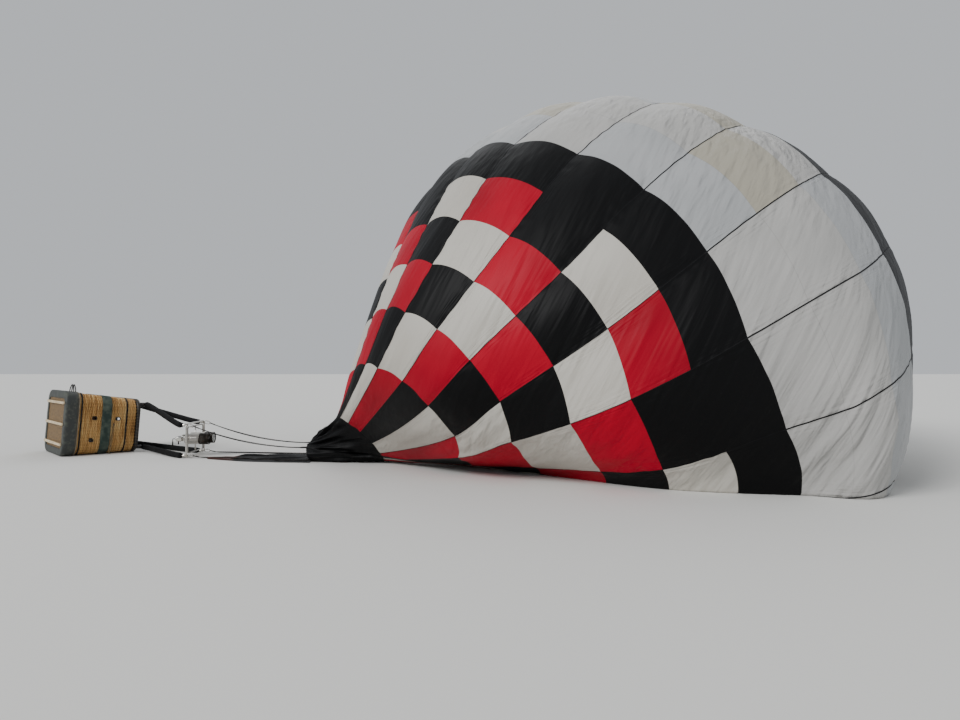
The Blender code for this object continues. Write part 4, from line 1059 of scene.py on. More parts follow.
def makeWicker():
    use = wicker
    rnd = random.Random(11)
    parts = []
    count = use["stakes"] * use["perStake"]
    rows = int((basketShape["height"] - 0.012) / use["pitch"])
    for i in range(rows):
        x = 0.010 + i * use["pitch"]
        ring, out = basketRing(x, 0.0, count)
        k = np.arange(count)
        swing = use["middle"] + use["swing"] * np.cos(math.pi * (k / use["perStake"] + i))
        swing = swing + np.array([rnd.uniform(-0.0008, 0.0008) for _ in k])
        ring = ring + out * swing[:, None]
        ring[:, 0] += [rnd.uniform(-0.0012, 0.0012) for _ in k]
        radius = use["radius"] * rnd.uniform(0.88, 1.08)
        kept = [not inHole(*p) for p in ring]
        if all(kept):
            parts.append(tubePart(ring, radius, 4, closed=True))
            continue
        start = next(j for j in range(count) if kept[j] and not kept[j - 1])
        order = [j % count for j in range(start, start + count)]
        parts += tubeRuns([ring[j] for j in order], [kept[j] for j in order], radius, 4, 3)
    heights = [0.004 + (basketShape["height"] - 0.008) * i / 24 for i in range(25)]
    rings = [basketRing(x, use["middle"], use["stakes"])[0] for x in heights]
    for s in range(use["stakes"]):
        line = [ring[s] for ring in rings]
        parts += tubeRuns(line, [not inHole(*point) for point in line], use["stakeRadius"], 6)
    parts = [inBasket(part) for part in parts]
    addPiece("basketWeave", parts, willow, "balloon", "wicker", "basket_walls")

    # a dark sheet of painted shade inside the weave, seen through its gaps and over the rim
    high = use["paintedShadeRows"]
    points = np.concatenate([basketRing(basketShape["height"] * i / high, use["paintedShadeOffset"], count)[0]
                             for i in range(high + 1)])
    faces = [face for face in gridFaces(high + 1, count, True)
             if not inHole(*points[list(face)].mean(axis=0), 0.004)]
    addPiece("basketWeavePaintedShade", [inBasket((points, faces))], willowPaintedShade, "balloon", "wicker")

    # bound edges of the foot holes
    rings = []
    for hx, hz, a, b in use["holes"]:
        line = []
        for k in range(32):
            angle = 2 * math.pi * k / 32
            c, s = math.cos(angle), math.sin(angle)
            x = hx + a * math.copysign(abs(c) ** 0.5, c)
            z = hz + b * math.copysign(abs(s) ** 0.5, s)
            line.append((x, -basketShape["width"] / 2 - 0.001, z))
        rings.append(inBasket(tubePart(line, use["bindingRadius"], 8, closed=True)))
    addPiece("footHoleBinding", rings, hideBlack, "balloon", "leather_black")


makeWicker()
print("wicker woven")

baseHide = {
    "height": 0.20,
    "flange": 0.13,
    "round": 0.03,
    "around": 300,              # points round the basket
    "pipingRadius": 0.0065,
    "stitches": 168,
    "stitchRadius": 0.0018,
}


def makeHide(use):
    g = basketShape["gap"]
    t = basketShape["trim"]
    top = use["height"]
    e = use["round"]
    around = use["around"]
    foot = -g - t
    profile = [(top, g), (top, g + t * 0.8), (top - 0.012, g + t), (0.150, g + t), (0.100, g + t),
               (0.060, g + t), (e, g + t)]
    profile += [(e - (e + t) * math.sin(a), g + t - e * (1 - math.cos(a))) for a in quarterArc(6)]
    profile += [(foot, -0.060), (foot, -0.095), (foot, 0.004 - use["flange"]), (-g, -use["flange"]), (-g, g)]
    addPiece("baseHide", [basketSweep(profile, around, 0.0035, 6.0)], hideGrey, "balloon", "leather_grey",
             "basket_trim")

    # piping along the hide's upper edge and a row of lacing stitches under it
    ring, out = basketRing(top + 0.005, g + t * 0.7, around)
    addPiece("basePiping", [inBasket(tubePart(ring, use["pipingRadius"], 8, closed=True))],
             hidePiping, "balloon", "leather_grey")
    stitches = []
    count = use["stitches"]
    low, outLow = basketRing(top - 0.022, g + t, count)
    high, outHigh = basketRing(top + 0.002, g + t, count)
    for k in range(count):
        a = low[k] + outLow[k] * 0.0015
        b = high[(k + 1) % count] + outHigh[k] * 0.003
        bend = (a + b) / 2 + outLow[k] * 0.001
        stitches.append(inBasket(tubePart([a, bend, b], use["stitchRadius"], 5)))
    addPiece("baseStitches", stitches, tanCord, "balloon", "leather_grey")


makeHide(baseHide)

band = {
    "from": 0.59,
    "height": 0.165,
    "thick": 0.006,
    "straps": (0.235, 1.00),
    "strapHeight": 0.028,
    "around": 300,
}


def makeBands(use):
    g = basketShape["gap"]
    around = use["around"]
    a = use["from"]
    b = a + use["height"]
    s = use["thick"]
    profile = [(a, g), (a, g + s * 0.7), (a + 0.006, g + s), (a + 0.05, g + s), (a + 0.11, g + s),
               (b - 0.006, g + s), (b, g + s * 0.7), (b, g)]
    addPiece("tealBand", [basketSweep(profile, around, 0.0030, 8.0, 5.0)], tealWebbing, "balloon",
             "webbing_teal", "basket_band")
    for i, a in enumerate(use["straps"]):
        b = a + use["strapHeight"]
        profile = [(a, g), (a, g + s * 0.8), (a + 0.004, g + s), (b - 0.004, g + s), (b, g + s * 0.8), (b, g)]
        addPiece("basketStrap%d" % (i + 1), [basketSweep(profile, around, 0.0020, 9.0, 9.0 + i)],
                 strapWebbing, "balloon", "leather_black", "basket_strap_%d" % (i + 1))


makeBands(band)

rim = {
    "radius": 0.034,
    "offset": -0.0217,
    "points": 420,
    "lacingEvery": 0.052,
    "lacingSteps": 14,          # points in a turn
    "lacingRadius": 0.0028,
    "socketLength": 0.09,
    "socket": [(0.0, 0.040), (0.02, 0.0345), (0.05, 0.0335), (0.075, 0.0345), (0.090, 0.0355),
               (0.124, 0.034), (0.124, 0.0)],
}


def rimCorner(side, high):
    ring, out = basketRing(basketShape["height"], rim["offset"], 400)
    inset = basketShape["corner"] * (1.0 - math.cos(math.radians(45)))
    y = ring[:, 1].max() - inset
    z = ring[:, 2].max() - inset if high else ring[:, 2].min() + inset
    return side * y, z


corners = [(-1.0, True), (1.0, True), (-1.0, False), (1.0, False)]


def makeRim(use):
    # foam roll in a hide cover, drawn tight by a cord that winds round it
    middle = basketShape["height"] + basketShape["gap"] + use["radius"]
    count = use["points"]
    ring, out = basketRing(middle, use["offset"], count)
    length = float(np.sum(np.linalg.norm(ring - np.roll(ring, 1, axis=0), axis=1)))
    turns = round(length / use["lacingEvery"])

    def pinched(i, angle):
        tight = abs(math.sin(math.pi * turns * i / count))
        return 0.93 + 0.07 * min(1.0, tight * 2.2) + 0.012 * noise.noise((i * 0.3, angle, 2.0))

    parts = [tubePart(ring, use["radius"] * 1.02, 18, closed=True, ridge=pinched)]
    parts += [lathePart(use["socket"], (middle, *rimCorner(*corner)), (1, 0, 0), 24) for corner in corners]
    roll = addPiece("rimRoll", [inBasket(part) for part in parts], hideBlack, "balloon", "leather_black",
                    "basket_rim")
    fine, outFine = basketRing(middle, use["offset"], turns * use["lacingSteps"])
    radius = use["radius"] * 0.985
    for k, (point, out) in enumerate(zip(fine, outFine)):
        angle = 2 * math.pi * k / use["lacingSteps"]
        point += out * radius * math.cos(angle)
        point[0] += radius * math.sin(angle)
    addPiece("rimLacing", [inBasket(tubePart(fine, use["lacingRadius"], 5, closed=True))], tanCord,
             "balloon", "rope")


makeRim(rim)


def laidTwist(strands, every, depth=0.16):
    return lambda i, angle: 1.0 + depth * math.cos(strands * (angle - 2 * math.pi * i / every))


bolt = {
    "shares": (0.175, 0.49, 0.82),      # of the basket's depth, one for each runner
    "across": (-0.60, -0.36, -0.12, 0.12, 0.36, 0.60),
    "runnerThick": 0.028,
    "profile": [(0.0, 0.0085), (-0.002, 0.0085), (-0.0045, 0.006), (-0.0052, 0.0)],
}


def makeBase(use):
    # woven base panel and runners keep their solids, the bolts are added
    for node, mat in (("basket_floor", cane), ("basket_runner_1", ash), ("basket_runner_2", ash),
                      ("basket_runner_3", ash)):
        nodes[node].data.materials.clear()
        nodes[node].data.materials.append(mat)
    x = -2 * basketShape["gap"] - basketShape["trim"] - use["runnerThick"]
    bolts = [inBasket(lathePart(use["profile"], (x, y, share * basketShape["depth"]), (1, 0, 0), 12))
             for share in use["shares"] for y in use["across"]]
    addPiece("runnerBolts", bolts, milled, "balloon", "steel")


makeBase(bolt)

# laid rope handles through the wall
handle = {
    "across": (-0.45, -0.15),
    "up": 0.17,                 # from the basket's base
    "radius": 0.0092,
    "half": 0.075,
    "rise": 0.120,
    "lean": 0.018,
    "clear": 0.0006,
    "steps": 60,
}


def makeHandles(use):
    x = use["up"]
    rest = basketShape["depth"] - drawIn(x - 0.009) + basketShape["trim"] + use["clear"]
    for i, y in enumerate(use["across"]):
        line = []
        for k in range(use["steps"] + 1):
            angle = math.pi * k / use["steps"]
            rise = use["rise"] * math.sin(angle) ** 0.8
            lean = use["lean"] * math.sin(angle) * (1 if i else -1)
            line.append((x + lean, y - use["half"] * math.cos(angle), rest + 0.009 + rise))
        line = [(x, line[0][1], rest - 0.004)] + line + [(x, line[-1][1], rest - 0.004)]
        rope = tubePart(line, use["radius"], 12, ridge=laidTwist(3, 9))
        addPiece("ropeHandle%d" % (i + 1), [inBasket(rope)], blackRope, "balloon", "rope",
                 "rope_handle_%d" % (i + 1))


makeHandles(handle)

# cord laced beside the teal band, its ends frayed
lacing = {
    "top": (0.800, 0.565),      # up the basket, up from its lying side
    "foot": (0.764, 0.066),
    "radius": 0.0045,
    "off": 0.0115,              # from the wall
    "swing": 0.014,
    "waves": 26.0,
    "steps": 45,
    "fibres": 26,               # at each end
    "fibreRadii": [0.0014, 0.0010, 0.0005],
    "ground": -0.007,           # lowest level of a fibre at the base, where the floor is at -0.0123
}


def makeLacing(use):
    rnd = random.Random(5)
    cords = []
    face = -basketShape["width"] / 2 - use["off"]
    (topX, topZ), (footX, footZ) = use["top"], use["foot"]
    for run in range(2):
        line = []
        for k in range(use["steps"] + 1):
            t = k / use["steps"]
            wave = run * math.pi + t * use["waves"]
            x = topX + (footX - topX) * t + use["swing"] * math.sin(wave) + rnd.uniform(-0.001, 0.001)
            line.append((x, face - 0.003 * math.cos(wave), topZ + (footZ - topZ) * t))
        cords.append(inBasket(tubePart(line, use["radius"], 8, ridge=laidTwist(3, 5))))
    for (x, z), way in ((use["top"], 1.0), (use["foot"], -1.0)):
        for _ in range(use["fibres"]):
            a = Vector((x + rnd.uniform(-0.006, 0.006), face, z))
            tip = a + Vector((rnd.uniform(-0.030, 0.030), rnd.uniform(-0.012, 0.004),
                              way * rnd.uniform(0.03, 0.075)))
            bend = (a + tip) / 2 + Vector((rnd.uniform(-0.006, 0.006), -0.004, 0.0))
            for point in (bend, tip):
                point.z = max(point.z, math.tan(pitch) * point.x + use["ground"])
            cords.append(inBasket(tubePart([a, bend, tip], use["fibreRadii"], 4)))
    addPiece("bandLacing", cords, tanCord, "balloon", "rope")


makeLacing(lacing)
print("basket dressed")

# fuel cylinders, standing on the basket's floor
tankShape = {
    "radius": 0.150,
    "length": 0.78,
    "clear": 0.065,
    "floor": 0.018,
    "places": [(-1.0, "low"), (1.0, "low"), (-1.0, "high")],
    "hoops": (0.30, 0.52),      # rolled ribs, from the foot
    "straps": (0.18, 0.60),
    "strapHalf": 0.02,
    "strapThick": 0.003,
    "guardRadius": 0.092,
    "guardTube": 0.008,
    "legs": 4,
    "legTube": 0.006,
    "wheelRadius": 0.030,
    "wheelTube": 0.006,
}


def tankProfile(use):
    # foot ring, domed foot, wall with two rolled ribs, domed top and its neck
    r = use["radius"]
    shoulder = use["length"] - 0.085
    top = use["length"]
    profile = [(0.0, 0.0), (0.0, 0.110), (0.012, 0.112), (0.016, 0.118)]
    profile += [(0.016 + 0.036 * math.sin(a), 0.118 + (r - 0.118) * (1 - math.cos(a))) for a in quarterArc(6)]
    for hoop in use["hoops"]:
        profile += [(hoop, r), (hoop + 0.004, r * 1.008), (hoop + 0.012, r * 1.008), (hoop + 0.016, r)]
    profile.append((shoulder, r))
    profile += [(shoulder + 0.045 * math.sin(a), r - (r - 0.060) * (1 - math.cos(a))) for a in quarterArc(7)]
    return profile + [(top - 0.036, 0.045), (top - 0.030, 0.024), (top - 0.010, 0.022), (top - 0.008, 0.0)]


def makeTanks(use):
    r = use["radius"]
    base = use["floor"] + 2 * basketShape["gap"]
    inward = drawIn(use["length"] + base) + basketShape["wall"] + r
    top = base + use["length"]
    for i, (side, level) in enumerate(use["places"]):
        y = side * (basketShape["width"] / 2 - basketShape["wall"] - r - use["clear"])
        z = inward + 2 * basketShape["gap"]
        if level == "high":
            z = basketShape["depth"] - inward - use["clear"]
        parts = [lathePart(tankProfile(use), (base, y, z), (1, 0, 0), 48)]
        guard = circlePath((top - 0.012, y, z), (0, 1, 0), (0, 0, 1), use["guardRadius"], 48)
        parts.append(tubePart(guard, use["guardTube"], 8, closed=True))
        for k in range(use["legs"]):
            angle = math.pi / 4 + 2 * math.pi / use["legs"] * k
            foot, tip = [(x, y + reach * math.cos(angle), z + reach * math.sin(angle))
                         for x, reach in ((top - 0.065, use["guardRadius"] + 0.006),
                                          (top - 0.012, use["guardRadius"]))]
            parts.append(tubePart([foot, tip], use["legTube"], 6))
        addPiece("fuelCylinder%d" % (i + 1), [inBasket(part) for part in parts], milled, "balloon",
                 "aluminium", "fuel_tank_%d" % (i + 1))
        straps = []
        for place in use["straps"]:
            a = place - use["strapHalf"]
            b = place + use["strapHalf"]
            profile = [(a, r), (a, r + use["strapThick"]), (b, r + use["strapThick"]), (b, r)]
            straps.append(inBasket(lathePart(profile, (base, y, z), (1, 0, 0), 48)))
        addPiece("cylinderStraps%d" % (i + 1), straps, strapWebbing, "balloon", "leather_black")
        wheel = []
        for k in range(40):
            angle = 2 * math.pi * k / 40
            reach = use["wheelRadius"] + 0.003 * math.cos(6 * angle)
            wheel.append((top - 0.006, y + reach * math.cos(angle), z + reach * math.sin(angle)))
        addPiece("valveWheel%d" % (i + 1), [inBasket(tubePart(wheel, use["wheelTube"], 8, closed=True))],
                 burnt, "balloon", "steel_dark")


makeTanks(tankShape)
print("cylinders made")

# profiles are pairs of distance along and radius
loadFrame = {
    "socketRadius": 0.026,
    "screws": (-0.022, -0.062),         # along each socket
    "screwRadius": 0.006,
}
gimbal = {
    "clear": 0.06,                      # inside the load frame
    "corner": 0.05,
    "tube": 0.011,
    "pinRadius": 0.008,
    "pinClear": 0.0008,
}
yWay = Vector((0.0, 1.0, 0.0))
zWay = Vector((0.0, 0.0, 1.0))


def inFrame(x, y, z):
    return frameCentre + Vector((x, y, z))


def frameLoop(width, height, corner):
    return [inFrame(0.0, y, z)
            for y, z in roundedLoop(width / 2, -height / 2, height / 2, corner, corner, 10)]


def frameSpot(side, high):
    reach = layout["frameCorner"] * (1.0 - math.cos(math.radians(45)))
    return (side * (layout["frameWidth"] / 2 - reach),
            (1 if high else -1) * (layout["frameHeight"] / 2 - reach))


def makeLoadFrame(use):
    length = layout["frameSocket"]
    r = use["socketRadius"]
    screw = use["screwRadius"]
    socket = [(0.0, 0.0), (0.0, r * 0.90), (-0.006, r), (-0.030, r), (-0.032, r * 1.03), (-0.044, r * 1.03),
              (-0.046, r), (-length + 0.004, r), (-length, r * 0.94), (-length, 0.0)]
    clamp = [(0.0, screw), (r + 0.003, screw), (r + 0.004, screw - 0.002), (r + 0.004, 0.0)]
    loop = frameLoop(layout["frameWidth"], layout["frameHeight"], layout["frameCorner"])
    parts = [tubePart(loop, layout["frameTube"], 20, closed=True)]
    for side, high in corners:
        y, z = frameSpot(side, high)
        parts.append(lathePart(socket, inFrame(0.0, y, z), (1, 0, 0), 28))
        # clamp screws
        for x in use["screws"]:
            parts.append(lathePart(clamp, inFrame(x, y, z), zWay if high else -zWay, 10))
    addPiece("loadFrame", parts, polished, "balloon", "steel", "load_frame")


makeLoadFrame(loadFrame)


def makeGimbal(use):
    width = layout["frameWidth"] - 2 * use["clear"]
    height = layout["frameHeight"] - 2 * use["clear"]
    parts = [tubePart(frameLoop(width, height, use["corner"]), use["tube"], 18, closed=True)]
    reach = use["clear"] - layout["frameTube"] - use["pinClear"]
    pin = use["pinRadius"]
    profile = [(0.0, pin * 1.9), (reach * 0.35, pin * 1.9), (reach * 0.36, pin), (reach, pin), (reach, 0.0)]
    for side in (-1.0, 1.0):
        parts.append(lathePart(profile, inFrame(0.0, side * width / 2, 0.0), side * yWay, 20))
    addPiece("gimbalRing", parts, milled, "gimbal", "steel_dark", "gimbal_ring")


makeGimbal(gimbal)

burner = {
    "side": 0.125,                      # of each unit, off the middle
    "back": -0.30,                      # of the block, behind the load frame
    "size": (0.16, 0.40, 0.11),
    "plateShares": (0.62, 1.0, 0.72),   # of the block's size
    "plateEdge": 0.010,
    "yokeRadius": 0.012,
    "yokeClear": 0.0005,
    "valveBody": [(0.0, 0.0), (0.0, 0.030), (0.012, 0.034), (0.030, 0.034), (0.032, 0.046),
                  (0.128, 0.046), (0.130, 0.036), (0.146, 0.034), (0.160, 0.030), (0.160, 0.0)],
    "union": [(0.0, 0.013), (0.010, 0.013), (0.011, 0.017), (0.024, 0.017), (0.025, 0.011),
              (0.033, 0.010), (0.034, 0.0)],
    "unionAt": (0.075, 0.020),          # along the valve body, off its middle
    "gauge": [(0.0, 0.024), (0.018, 0.024), (0.022, 0.026), (0.024, 0.024), (0.021, 0.021), (0.021, 0.0)],
    "whisperRadius": 0.052,
    "whisperTube": 0.006,
    "whisperAhead": 0.030,
    "jetRadius": 0.011,
    "spokes": 3,
    "spokeRadius": 0.004,
}
burnerFront = burner["back"] + burner["size"][0]


def roundedBlock(size, centre, edge, steps=4):
    # a block with rounded edges, as rings across x
    halfX, halfY, halfZ = [value / 2 for value in size]
    xs = [-halfX] + [-halfX + edge * (1 - math.cos(a)) for a in quarterArc(steps)]
    points = []
    for x in xs + [-x for x in xs[::-1]]:
        near = min(1.0, (halfX - abs(x)) / edge)
        inset = edge * (1 - math.sqrt(max(0.0, 1 - (1 - near) ** 2)))
        points += [centre + Vector((x, y, z))
                   for y, z in roundedLoop(halfY, -halfZ, halfZ, edge, edge - inset, steps)]
    wide = 4 * (steps + 1)
    faces = gridFaces(2 * len(xs), wide, True)
    faces.append(tuple(range(wide))[::-1])
    faces.append(tuple(range(len(points) - wide, len(points))))
    return points, faces


def makeBlock(use):
    back = use["back"]
    front = burnerFront
    middle = (back + front) / 2
    top = layout["frameHeight"] / 2 - gimbal["clear"] - gimbal["tube"] - use["yokeClear"]
    yoke = use["yokeRadius"]
    # manifold plate with two valve bodies, between which the yoke's arm runs
    plate = [size * share for size, share in zip(use["size"], use["plateShares"])]
    parts = [roundedBlock(plate, inFrame(middle, 0.0, 0.0), use["plateEdge"])]
    parts.append(tubePart([inFrame(0, 0, -top), inFrame(0, 0, top)], yoke, 16))
    parts.append(tubePart([inFrame(front - 0.04, 0, 0), frameCentre], yoke * 0.9, 16))
    for side in (-1.0, 1.0):
        y = side * use["side"]
        parts.append(lathePart(use["valveBody"], inFrame(back, y, 0.0), (1, 0, 0), 32))
        # gas unions under and over each valve body, the upper one with flats
        along, off = use["unionAt"]
        parts.append(lathePart(use["union"], inFrame(back + along, y, -off), -zWay, 20))
        parts.append(lathePart(use["union"], inFrame(back + along, y, off), zWay, 6))
        # whisper nozzle ring and jets at the foot of the coil
        hub = inFrame(front + use["whisperAhead"], y, 0.0)
        parts.append(tubePart(circlePath(hub, yWay, zWay, use["whisperRadius"], 36), use["whisperTube"], 10,
                              closed=True))
        jet = [inFrame(front - 0.01, y, 0), inFrame(front + 0.055, y, 0)]
        parts.append(tubePart(jet, use["jetRadius"], 14))
        for k in range(use["spokes"]):
            angle = 2 * math.pi * k / use["spokes"] + 0.5
            tip = hub + (yWay * math.cos(angle) + zWay * math.sin(angle)) * use["whisperRadius"]
            parts.append(tubePart([hub, tip], use["spokeRadius"], 8))
    addPiece("burnerBlock", parts, polished, "burner", "steel", "burner_block")

    # gauge with a plain sunken face
    spot = inFrame(middle, 0.0, use["size"][2] * 0.36)
    addPiece("pressureGauge", [lathePart(use["gauge"], spot, zWay, 32)], milled, "burner", "steel")


makeBlock(burner)

coil = {
    "radius": 0.088,
    "tube": 0.0080,
    "turns": 13,
    "steps": 40,                        # points in a turn
    "from": -0.125,
    "pitch": 0.0225,
    "legs": 3,
    "legRadius": 0.004,
}


def makeCoil(use, name, side, node):
    y = side * burner["side"]
    reach = -side * use["radius"]
    points = [inFrame(burnerFront + basketShape["gap"], y + reach, 0.0)]
    for k in range(use["turns"] * use["steps"] + 1):
        angle = 2 * math.pi * k / use["steps"]
        x = use["from"] + use["pitch"] * k / use["steps"]
        points.append(inFrame(x, y + reach * math.cos(angle), use["radius"] * math.sin(angle)))
    parts = [tubePart(points, use["tube"], 12)]
    # straight legs that stiffen the coil
    for k in range(use["legs"]):
        angle = 2 * math.pi * k / use["legs"] + 0.4
        r = use["radius"] - 0.002
        foot = inFrame(use["from"] - 0.004, y + r * math.cos(angle), r * math.sin(angle))
        tip = foot + Vector((use["pitch"] * use["turns"] + 0.006, 0.0, 0.0))
        parts.append(tubePart([foot, tip], use["legRadius"], 8))
    addPiece(name, parts, polished, "burner", "steel", node)


can = {
    "radius": 0.0985,
    "from": 0.135,
    "length": 0.16,
    "around": 120,
    "along": 30,
    "hem": 0.0032,
}


def makeCan(use, name, side, node):
    # can of perforated sheet with rolled ends
    y = side * burner["side"]
    around = use["around"]
    along = use["along"]
    start = use["from"]
    points = []
    for a in range(along + 1):
        middle = inFrame(start + use["length"] * a / along, y, 0.0)
        points += circlePath(middle, yWay, zWay, use["radius"], around)
    faces = []
    for n, face in enumerate(gridFaces(along + 1, around, True)):
        a, k = divmod(n, around)
        if not (a % 2 and k % 2 and 3 < a < along - 4):
            faces.append(face)
    parts = [(points, faces)]
    for x in (start + 0.004, start + use["length"] - 0.003):
        hem = circlePath(inFrame(x, y, 0.0), yWay, zWay, use["radius"], 48)
        parts.append(tubePart(hem, use["hem"], 8, closed=True))
    addPiece(name, parts, burnt, "burner", "steel_dark", node)


lever = {
    "line": [(0.0, 0.0), (-0.046, 0.0), (-0.055, -0.004), (-0.060, -0.014), (-0.060, -0.13)],
    "radius": 0.0063,
    "grip": [(0.0, 0.006), (0.004, 0.0115), (0.030, 0.0105), (0.074, 0.0125), (0.080, 0.009), (0.082, 0.0)],
    "gripUp": 0.081,                    # from the lever's end
}


def makeLever(use, name, side, node):
    start = burner["back"] - basketShape["gap"]
    path = [inFrame(start + x, side * burner["side"], z) for x, z in use["line"]]
    parts = [tubePart(path, use["radius"], 14)]
    parts.append(lathePart(use["grip"], path[-1] + zWay * use["gripUp"], -zWay, 20))
    addPiece(name, parts, burnt, "burner", "steel_dark", node)


for i, side in enumerate((-1.0, 1.0)):
    makeCoil(coil, "vaporisingCoil%d" % (i + 1), side, "burner_coil_%d" % (i + 1))
    makeCan(can, "burnerCan%d" % (i + 1), side, "burner_can_%d" % (i + 1))
    makeLever(lever, "blastLever%d" % (i + 1), side, "blast_valve_%d" % (i + 1))
print("burner made")


def hermite(a, ta, b, tb, t):
    return (a * (2 * t ** 3 - 3 * t ** 2 + 1) + ta * (t ** 3 - 2 * t ** 2 + t)
            + b * (3 * t ** 2 - 2 * t ** 3) + tb * (t ** 3 - t ** 2))


sleeve = {
    "radius": 0.052,
    "pull": 0.12,
    "stub": 0.03,
    "steps": 150,
    "tieEvery": 0.42,
}


def makeUprights(use):
    basketWay = (basketPlace.to_3x3() @ Vector((1, 0, 0))).normalized()
    frameWay = Vector((1.0, 0.0, 0.0))
    for i, (side, high) in enumerate(corners):
        y, z = rimCorner(side, high)
        x = basketShape["height"] + 2 * basketShape["gap"] + 2 * rim["radius"] + rim["socketLength"]
        start = basketPlace @ Vector((x, y, z))
        y, z = frameSpot(side, high)
        end = inFrame(-layout["frameSocket"] - basketShape["gap"], y, z)
        pull = (end - start).length * use["pull"]
        path = []
        for k in range(use["steps"] + 1):
            p = hermite(start + basketWay * use["stub"], basketWay * pull, end - frameWay * use["stub"],
                        frameWay * pull, k / use["steps"])
            path.append(Vector((p.x, p.y, max(p.z, use["radius"]))))
        path = [start] + path + [end]
        length = sum((b - a).length for a, b in zip(path, path[1:]))
        every = use["tieEvery"] * use["steps"] / length
        seam = 0.6 * i

        def padding(n, angle, every=every, seam=seam):
            tie = abs(((n / every) % 1.0) - 0.5) * 2.0
            pinch = 1.0 - 0.09 * max(0.0, (tie - 0.88) / 0.12) ** 2
            toSeam = math.cos(angle - seam)
            ripple = 0.030 * noise.noise((n * 0.35, 2.0 * toSeam, 2.0 * math.sin(angle - seam)))
            ridge = 0.05 * math.exp(-((toSeam - 1.0) / 0.02) ** 2)
            ends = min(1.0, (n + 1) / 3.0, (use["steps"] + 3 - n) / 3.0)
            return (0.95 * pinch + ripple + ridge) * (0.80 + 0.20 * ends)

        piece = addPiece("uprightSleeve%d" % (i + 1), [tubePart(path, use["radius"], 26, ridge=padding)],
                         sleeveNylon, "balloon", "nylon", "upright_%d" % (i + 1))


makeUprights(sleeve)

wireRope = stainlessSteel("stainlessSteelWireRope", "2E2C2A", 0.55, "141312")
wires = {
    "linkLength": 0.12,
    "linkWidth": 0.062,
    "linkBar": 0.006,
    "gate": [(0.008, 0.0066), (0.010, 0.0088), (0.040, 0.0088), (0.042, 0.0066)],
    "radius": 0.0050,
    "perCorner": 3,
    "steps": 40,
    "sag": 0.10,
    "bow": 0.012,
    "eye": 1.7,           # radii of the swaged eyes at both ends
    "spread": 0.72,
    "high": 0.85,
    "low": 0.20,
    "apart": 0.055,       # metres between the wires of a corner at the lip
    "lipFrom": 0.027,     # height of the lowest place on the lip that takes a wire
    "lieAt": 0.020,       # lowest height of a wire
}


def karabinerParts(start, way, flat):
    # an oval link and the sleeve of its gate; also gives the middle of its far end
    use = wires
    radius = use["linkWidth"] / 2 - use["linkBar"]
    nearEnd = start + way * (use["linkBar"] + radius)
    farEnd = nearEnd + way * (use["linkLength"] - use["linkWidth"])
    loop = []
    for spot, first in ((farEnd, -90.0), (nearEnd, 90.0)):
        for k in range(15):
            angle = math.radians(first + 180.0 * k / 14)
            loop.append(spot + way * radius * math.cos(angle) + flat * radius * math.sin(angle))
    gate = lathePart(use["gate"], nearEnd + flat * radius, way, 18)
    return [tubePart(loop, use["linkBar"], 14, closed=True), gate], farEnd + way * radius


def makeRigging(use):
    lip = mouthRing(3)
    centre = lip.mean(axis=0)
    for i, (side, high) in enumerate(corners):
        corner = inFrame(0.0, *frameSpot(side, high))
        want = (side * use["spread"] * mouth["half"], mouth["top"] * (use["high"] if high else use["low"]))
        best = min((p for p in lip if p[2] > use["lipFrom"]),
                   key=lambda p: math.hypot(p[1] - centre[1] - want[0], p[2] - want[1]))
        target = Vector(best)
        way = (target - corner).normalized()
        if not high:
            way = Vector((way.x, way.y, 0.0)).normalized()
        start = corner + way * (layout["frameTube"] + basketShape["gap"])
        flat = (zWay - way * zWay.dot(way)).normalized()
        parts, end = karabinerParts(start, way, flat)
        addPiece("karabiner%d" % (i + 1), parts, milled, "balloon", "steel", "karabiner_%d" % (i + 1))
        first = end + way * (use["linkBar"] * 0.5)
        strands = []
        for n in range(use["perCorner"]):
            off = (n - (use["perCorner"] - 1) / 2) * use["apart"]
            far = target + Vector((0.0, off, abs(off) * 0.15))
            line = [first - way * 0.006]
            for k in range(use["steps"] + 1):
                t = k / use["steps"]
                point = first.lerp(far, t)
                point.z -= use["sag"] * (0.86 + 0.14 * n) * 4.0 * t * (1.0 - t)
                point.y += use["bow"] * math.sin(math.pi * t) * (n - 1)
                point.z = max(point.z, use["lieAt"] + 0.004 * n)
                line.append(point)
            strands.append(tubePart(line, use["radius"], 7, ridge=laidTwist(6, 2, 0.05)))
            for eye in ([line[1], line[3]], [line[-3], line[-1]]):
                strands.append(tubePart(eye, use["radius"] * use["eye"], 10))
        addPiece("flyingWires%d" % (i + 1), strands, wireRope, "balloon", "steel_dark",
                 "flying_wires_%d" % (i + 1))


makeRigging(wires)
print("rigging made")


# Vent: crown ring, the load tapes that meet on it, and the parachute seated inside
vent = {
    "ring": 0.15,
    "hole": 0.11,
    "ringTube": 0.013,
    "ringLift": 0.006,
    "tape": 0.030,
    "tapeSteps": 12,
    "seatShare": 0.70,
    "seatIn": 0.012,      # of the parachute's rim
    "rise": 0.16,
    "puff": 0.035,
    "rings": 26,
}


def ventPlace():
    foot, crest, top, belly, _, _, off, bow, _, _ = sectionAt(15.9999)
    turn = Matrix.Rotation(math.radians(envelope["turnDeg"]), 3, "Z")
    alongSection = Vector((crest - foot, 0.0, top)).normalized()
    out = Vector((alongSection.z, 0.0, -alongSection.x))
    rise = belly / top
    forward = foot + (crest - foot) * rise + bow * 4.0 * rise * (1.0 - rise)
    centre = turn @ Vector((forward, off, belly)) + neckFoot
    return centre, turn @ out, turn @ Vector((0.0, 1.0, 0.0)), turn @ alongSection


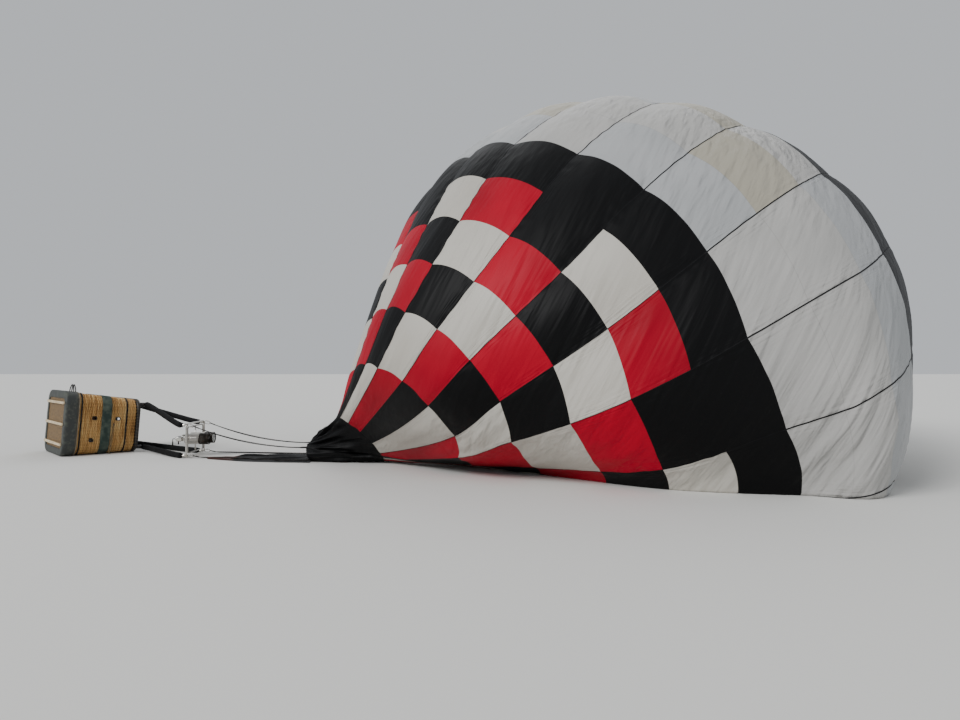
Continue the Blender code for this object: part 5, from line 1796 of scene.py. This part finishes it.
def makeVent(use, rings):
    centre, out, side, up = ventPlace()
    facets = envelope["facets"]
    middleRadius = (use["ring"] + use["hole"]) / 2
    loop = circlePath(centre + out * use["ringLift"], side, up, middleRadius, 64)
    addPiece("crownRing", [tubePart(loop, use["ringTube"], 14, closed=True)], milled, "balloon", "aluminium",
             "crown_ring")
    tapes = []
    steps = use["tapeSteps"]
    for gore in range(envelope["gores"]):
        way = Vector(rings[-1, gore * facets]) - centre
        reach = way.length
        way = (way - out * way.dot(out)).normalized()
        across = way.cross(out).normalized()
        points = []
        for k in range(steps + 1):
            t = k / steps
            spot = centre + way * (middleRadius + (reach + 0.02 - middleRadius) * t)
            spot += out * (0.012 * (1 - t) + 0.002 - 0.010 * math.sin(math.pi * t))
            half = use["tape"] / 2 * (0.55 + 0.45 * min(1.0, t * 3.0))
            points += [spot - across * half, spot + across * half]
        tapes.append((points, [(2 * k, 2 * k + 1, 2 * k + 3, 2 * k + 2) for k in range(steps)]))
    addPiece("ventTapes", tapes, tapeWebbing, "balloon", "fabric_black")

    # parachute: gathered to its rim, its gores meet in the middle
    share = use["seatShare"]
    rim = rings[-1 - envelope["rowSteps"]] * (1 - share) + rings[-1] * share
    middle = Vector(rim.mean(axis=0))
    points = []
    uvs = []
    for i in range(use["rings"] + 1):
        share = 1.0 - i / use["rings"]
        rise = use["rise"] * (1.0 - share ** 2) - 0.004
        for j, edge in enumerate(rim):
            edge = Vector(edge)
            seated = edge + (middle - edge).normalized() * use["seatIn"]
            tight = abs(math.sin(math.pi * j / facets)) ** 0.6
            puff = use["puff"] * tight * 2 * share * (1 - share)
            points.append(middle + (seated - middle) * share + out * (rise + puff))
            uvs.append((j / facets, share * 1.6))
    faces = gridFaces(use["rings"] + 1, len(rim), True)
    loopUvs = [uvs[v] for face in faces for v in face]
    clothPiece("parachuteCloth", points, faces, loopUvs, [0] * len(faces), [clothMaterials["black"]],
               "parachute_panel", "fabric_black", "parachute_valve",
               flat=(2.75, 2.95), held="stretched", rests_on=["envelopePanel1"], area=6.5)


makeVent(vent, skinRings)
print("vent made")

# floor and soft studio light
studio = {
    "floorHex": "D9D8D4",
    "floorHalf": 160.0,
    "worldHex": "E9EDF2",
    "worldStrength": 0.68,
    "lights": [
        # way that the light comes from, its softness in degrees, strength
        ((-15.0, -13.0, 14.0), 26.0, 2.30),
        ((14.0, -12.0, 9.0), 50.0, 0.30),
        ((2.0, 16.0, 15.0), 40.0, 0.50),
    ],
}


def makeStudio(use):
    mat = startMaterial("studioFloor")[0]
    finishMaterial(mat, {"Base Color": use["floorHex"], "Roughness": 0.9})
    half = use["floorHalf"]
    square = [(x * half, y * half, -0.001) for x, y in ((-1, -1), (1, -1), (1, 1), (-1, 1))]
    makeObject("studioFloor", square, [(0, 1, 2, 3)], [mat])
    world = bpy.data.worlds.new("studioWorld")
    bpy.context.scene.world = world
    world.use_nodes = True
    back = world.node_tree.nodes["Background"]
    back.inputs["Color"].default_value = toLinear(use["worldHex"])
    back.inputs["Strength"].default_value = use["worldStrength"]
    for k, (place, softDeg, strength) in enumerate(use["lights"]):
        data = bpy.data.lights.new("softLight%d" % (k + 1), "SUN")
        data.angle = math.radians(softDeg)
        data.energy = strength
        light = bpy.data.objects.new("softLight%d" % (k + 1), data)
        bpy.context.scene.collection.objects.link(light)
        light.location = place
        light.rotation_euler = (-light.location).to_track_quat("-Z", "Y").to_euler()


makeStudio(studio)
print("studio set")
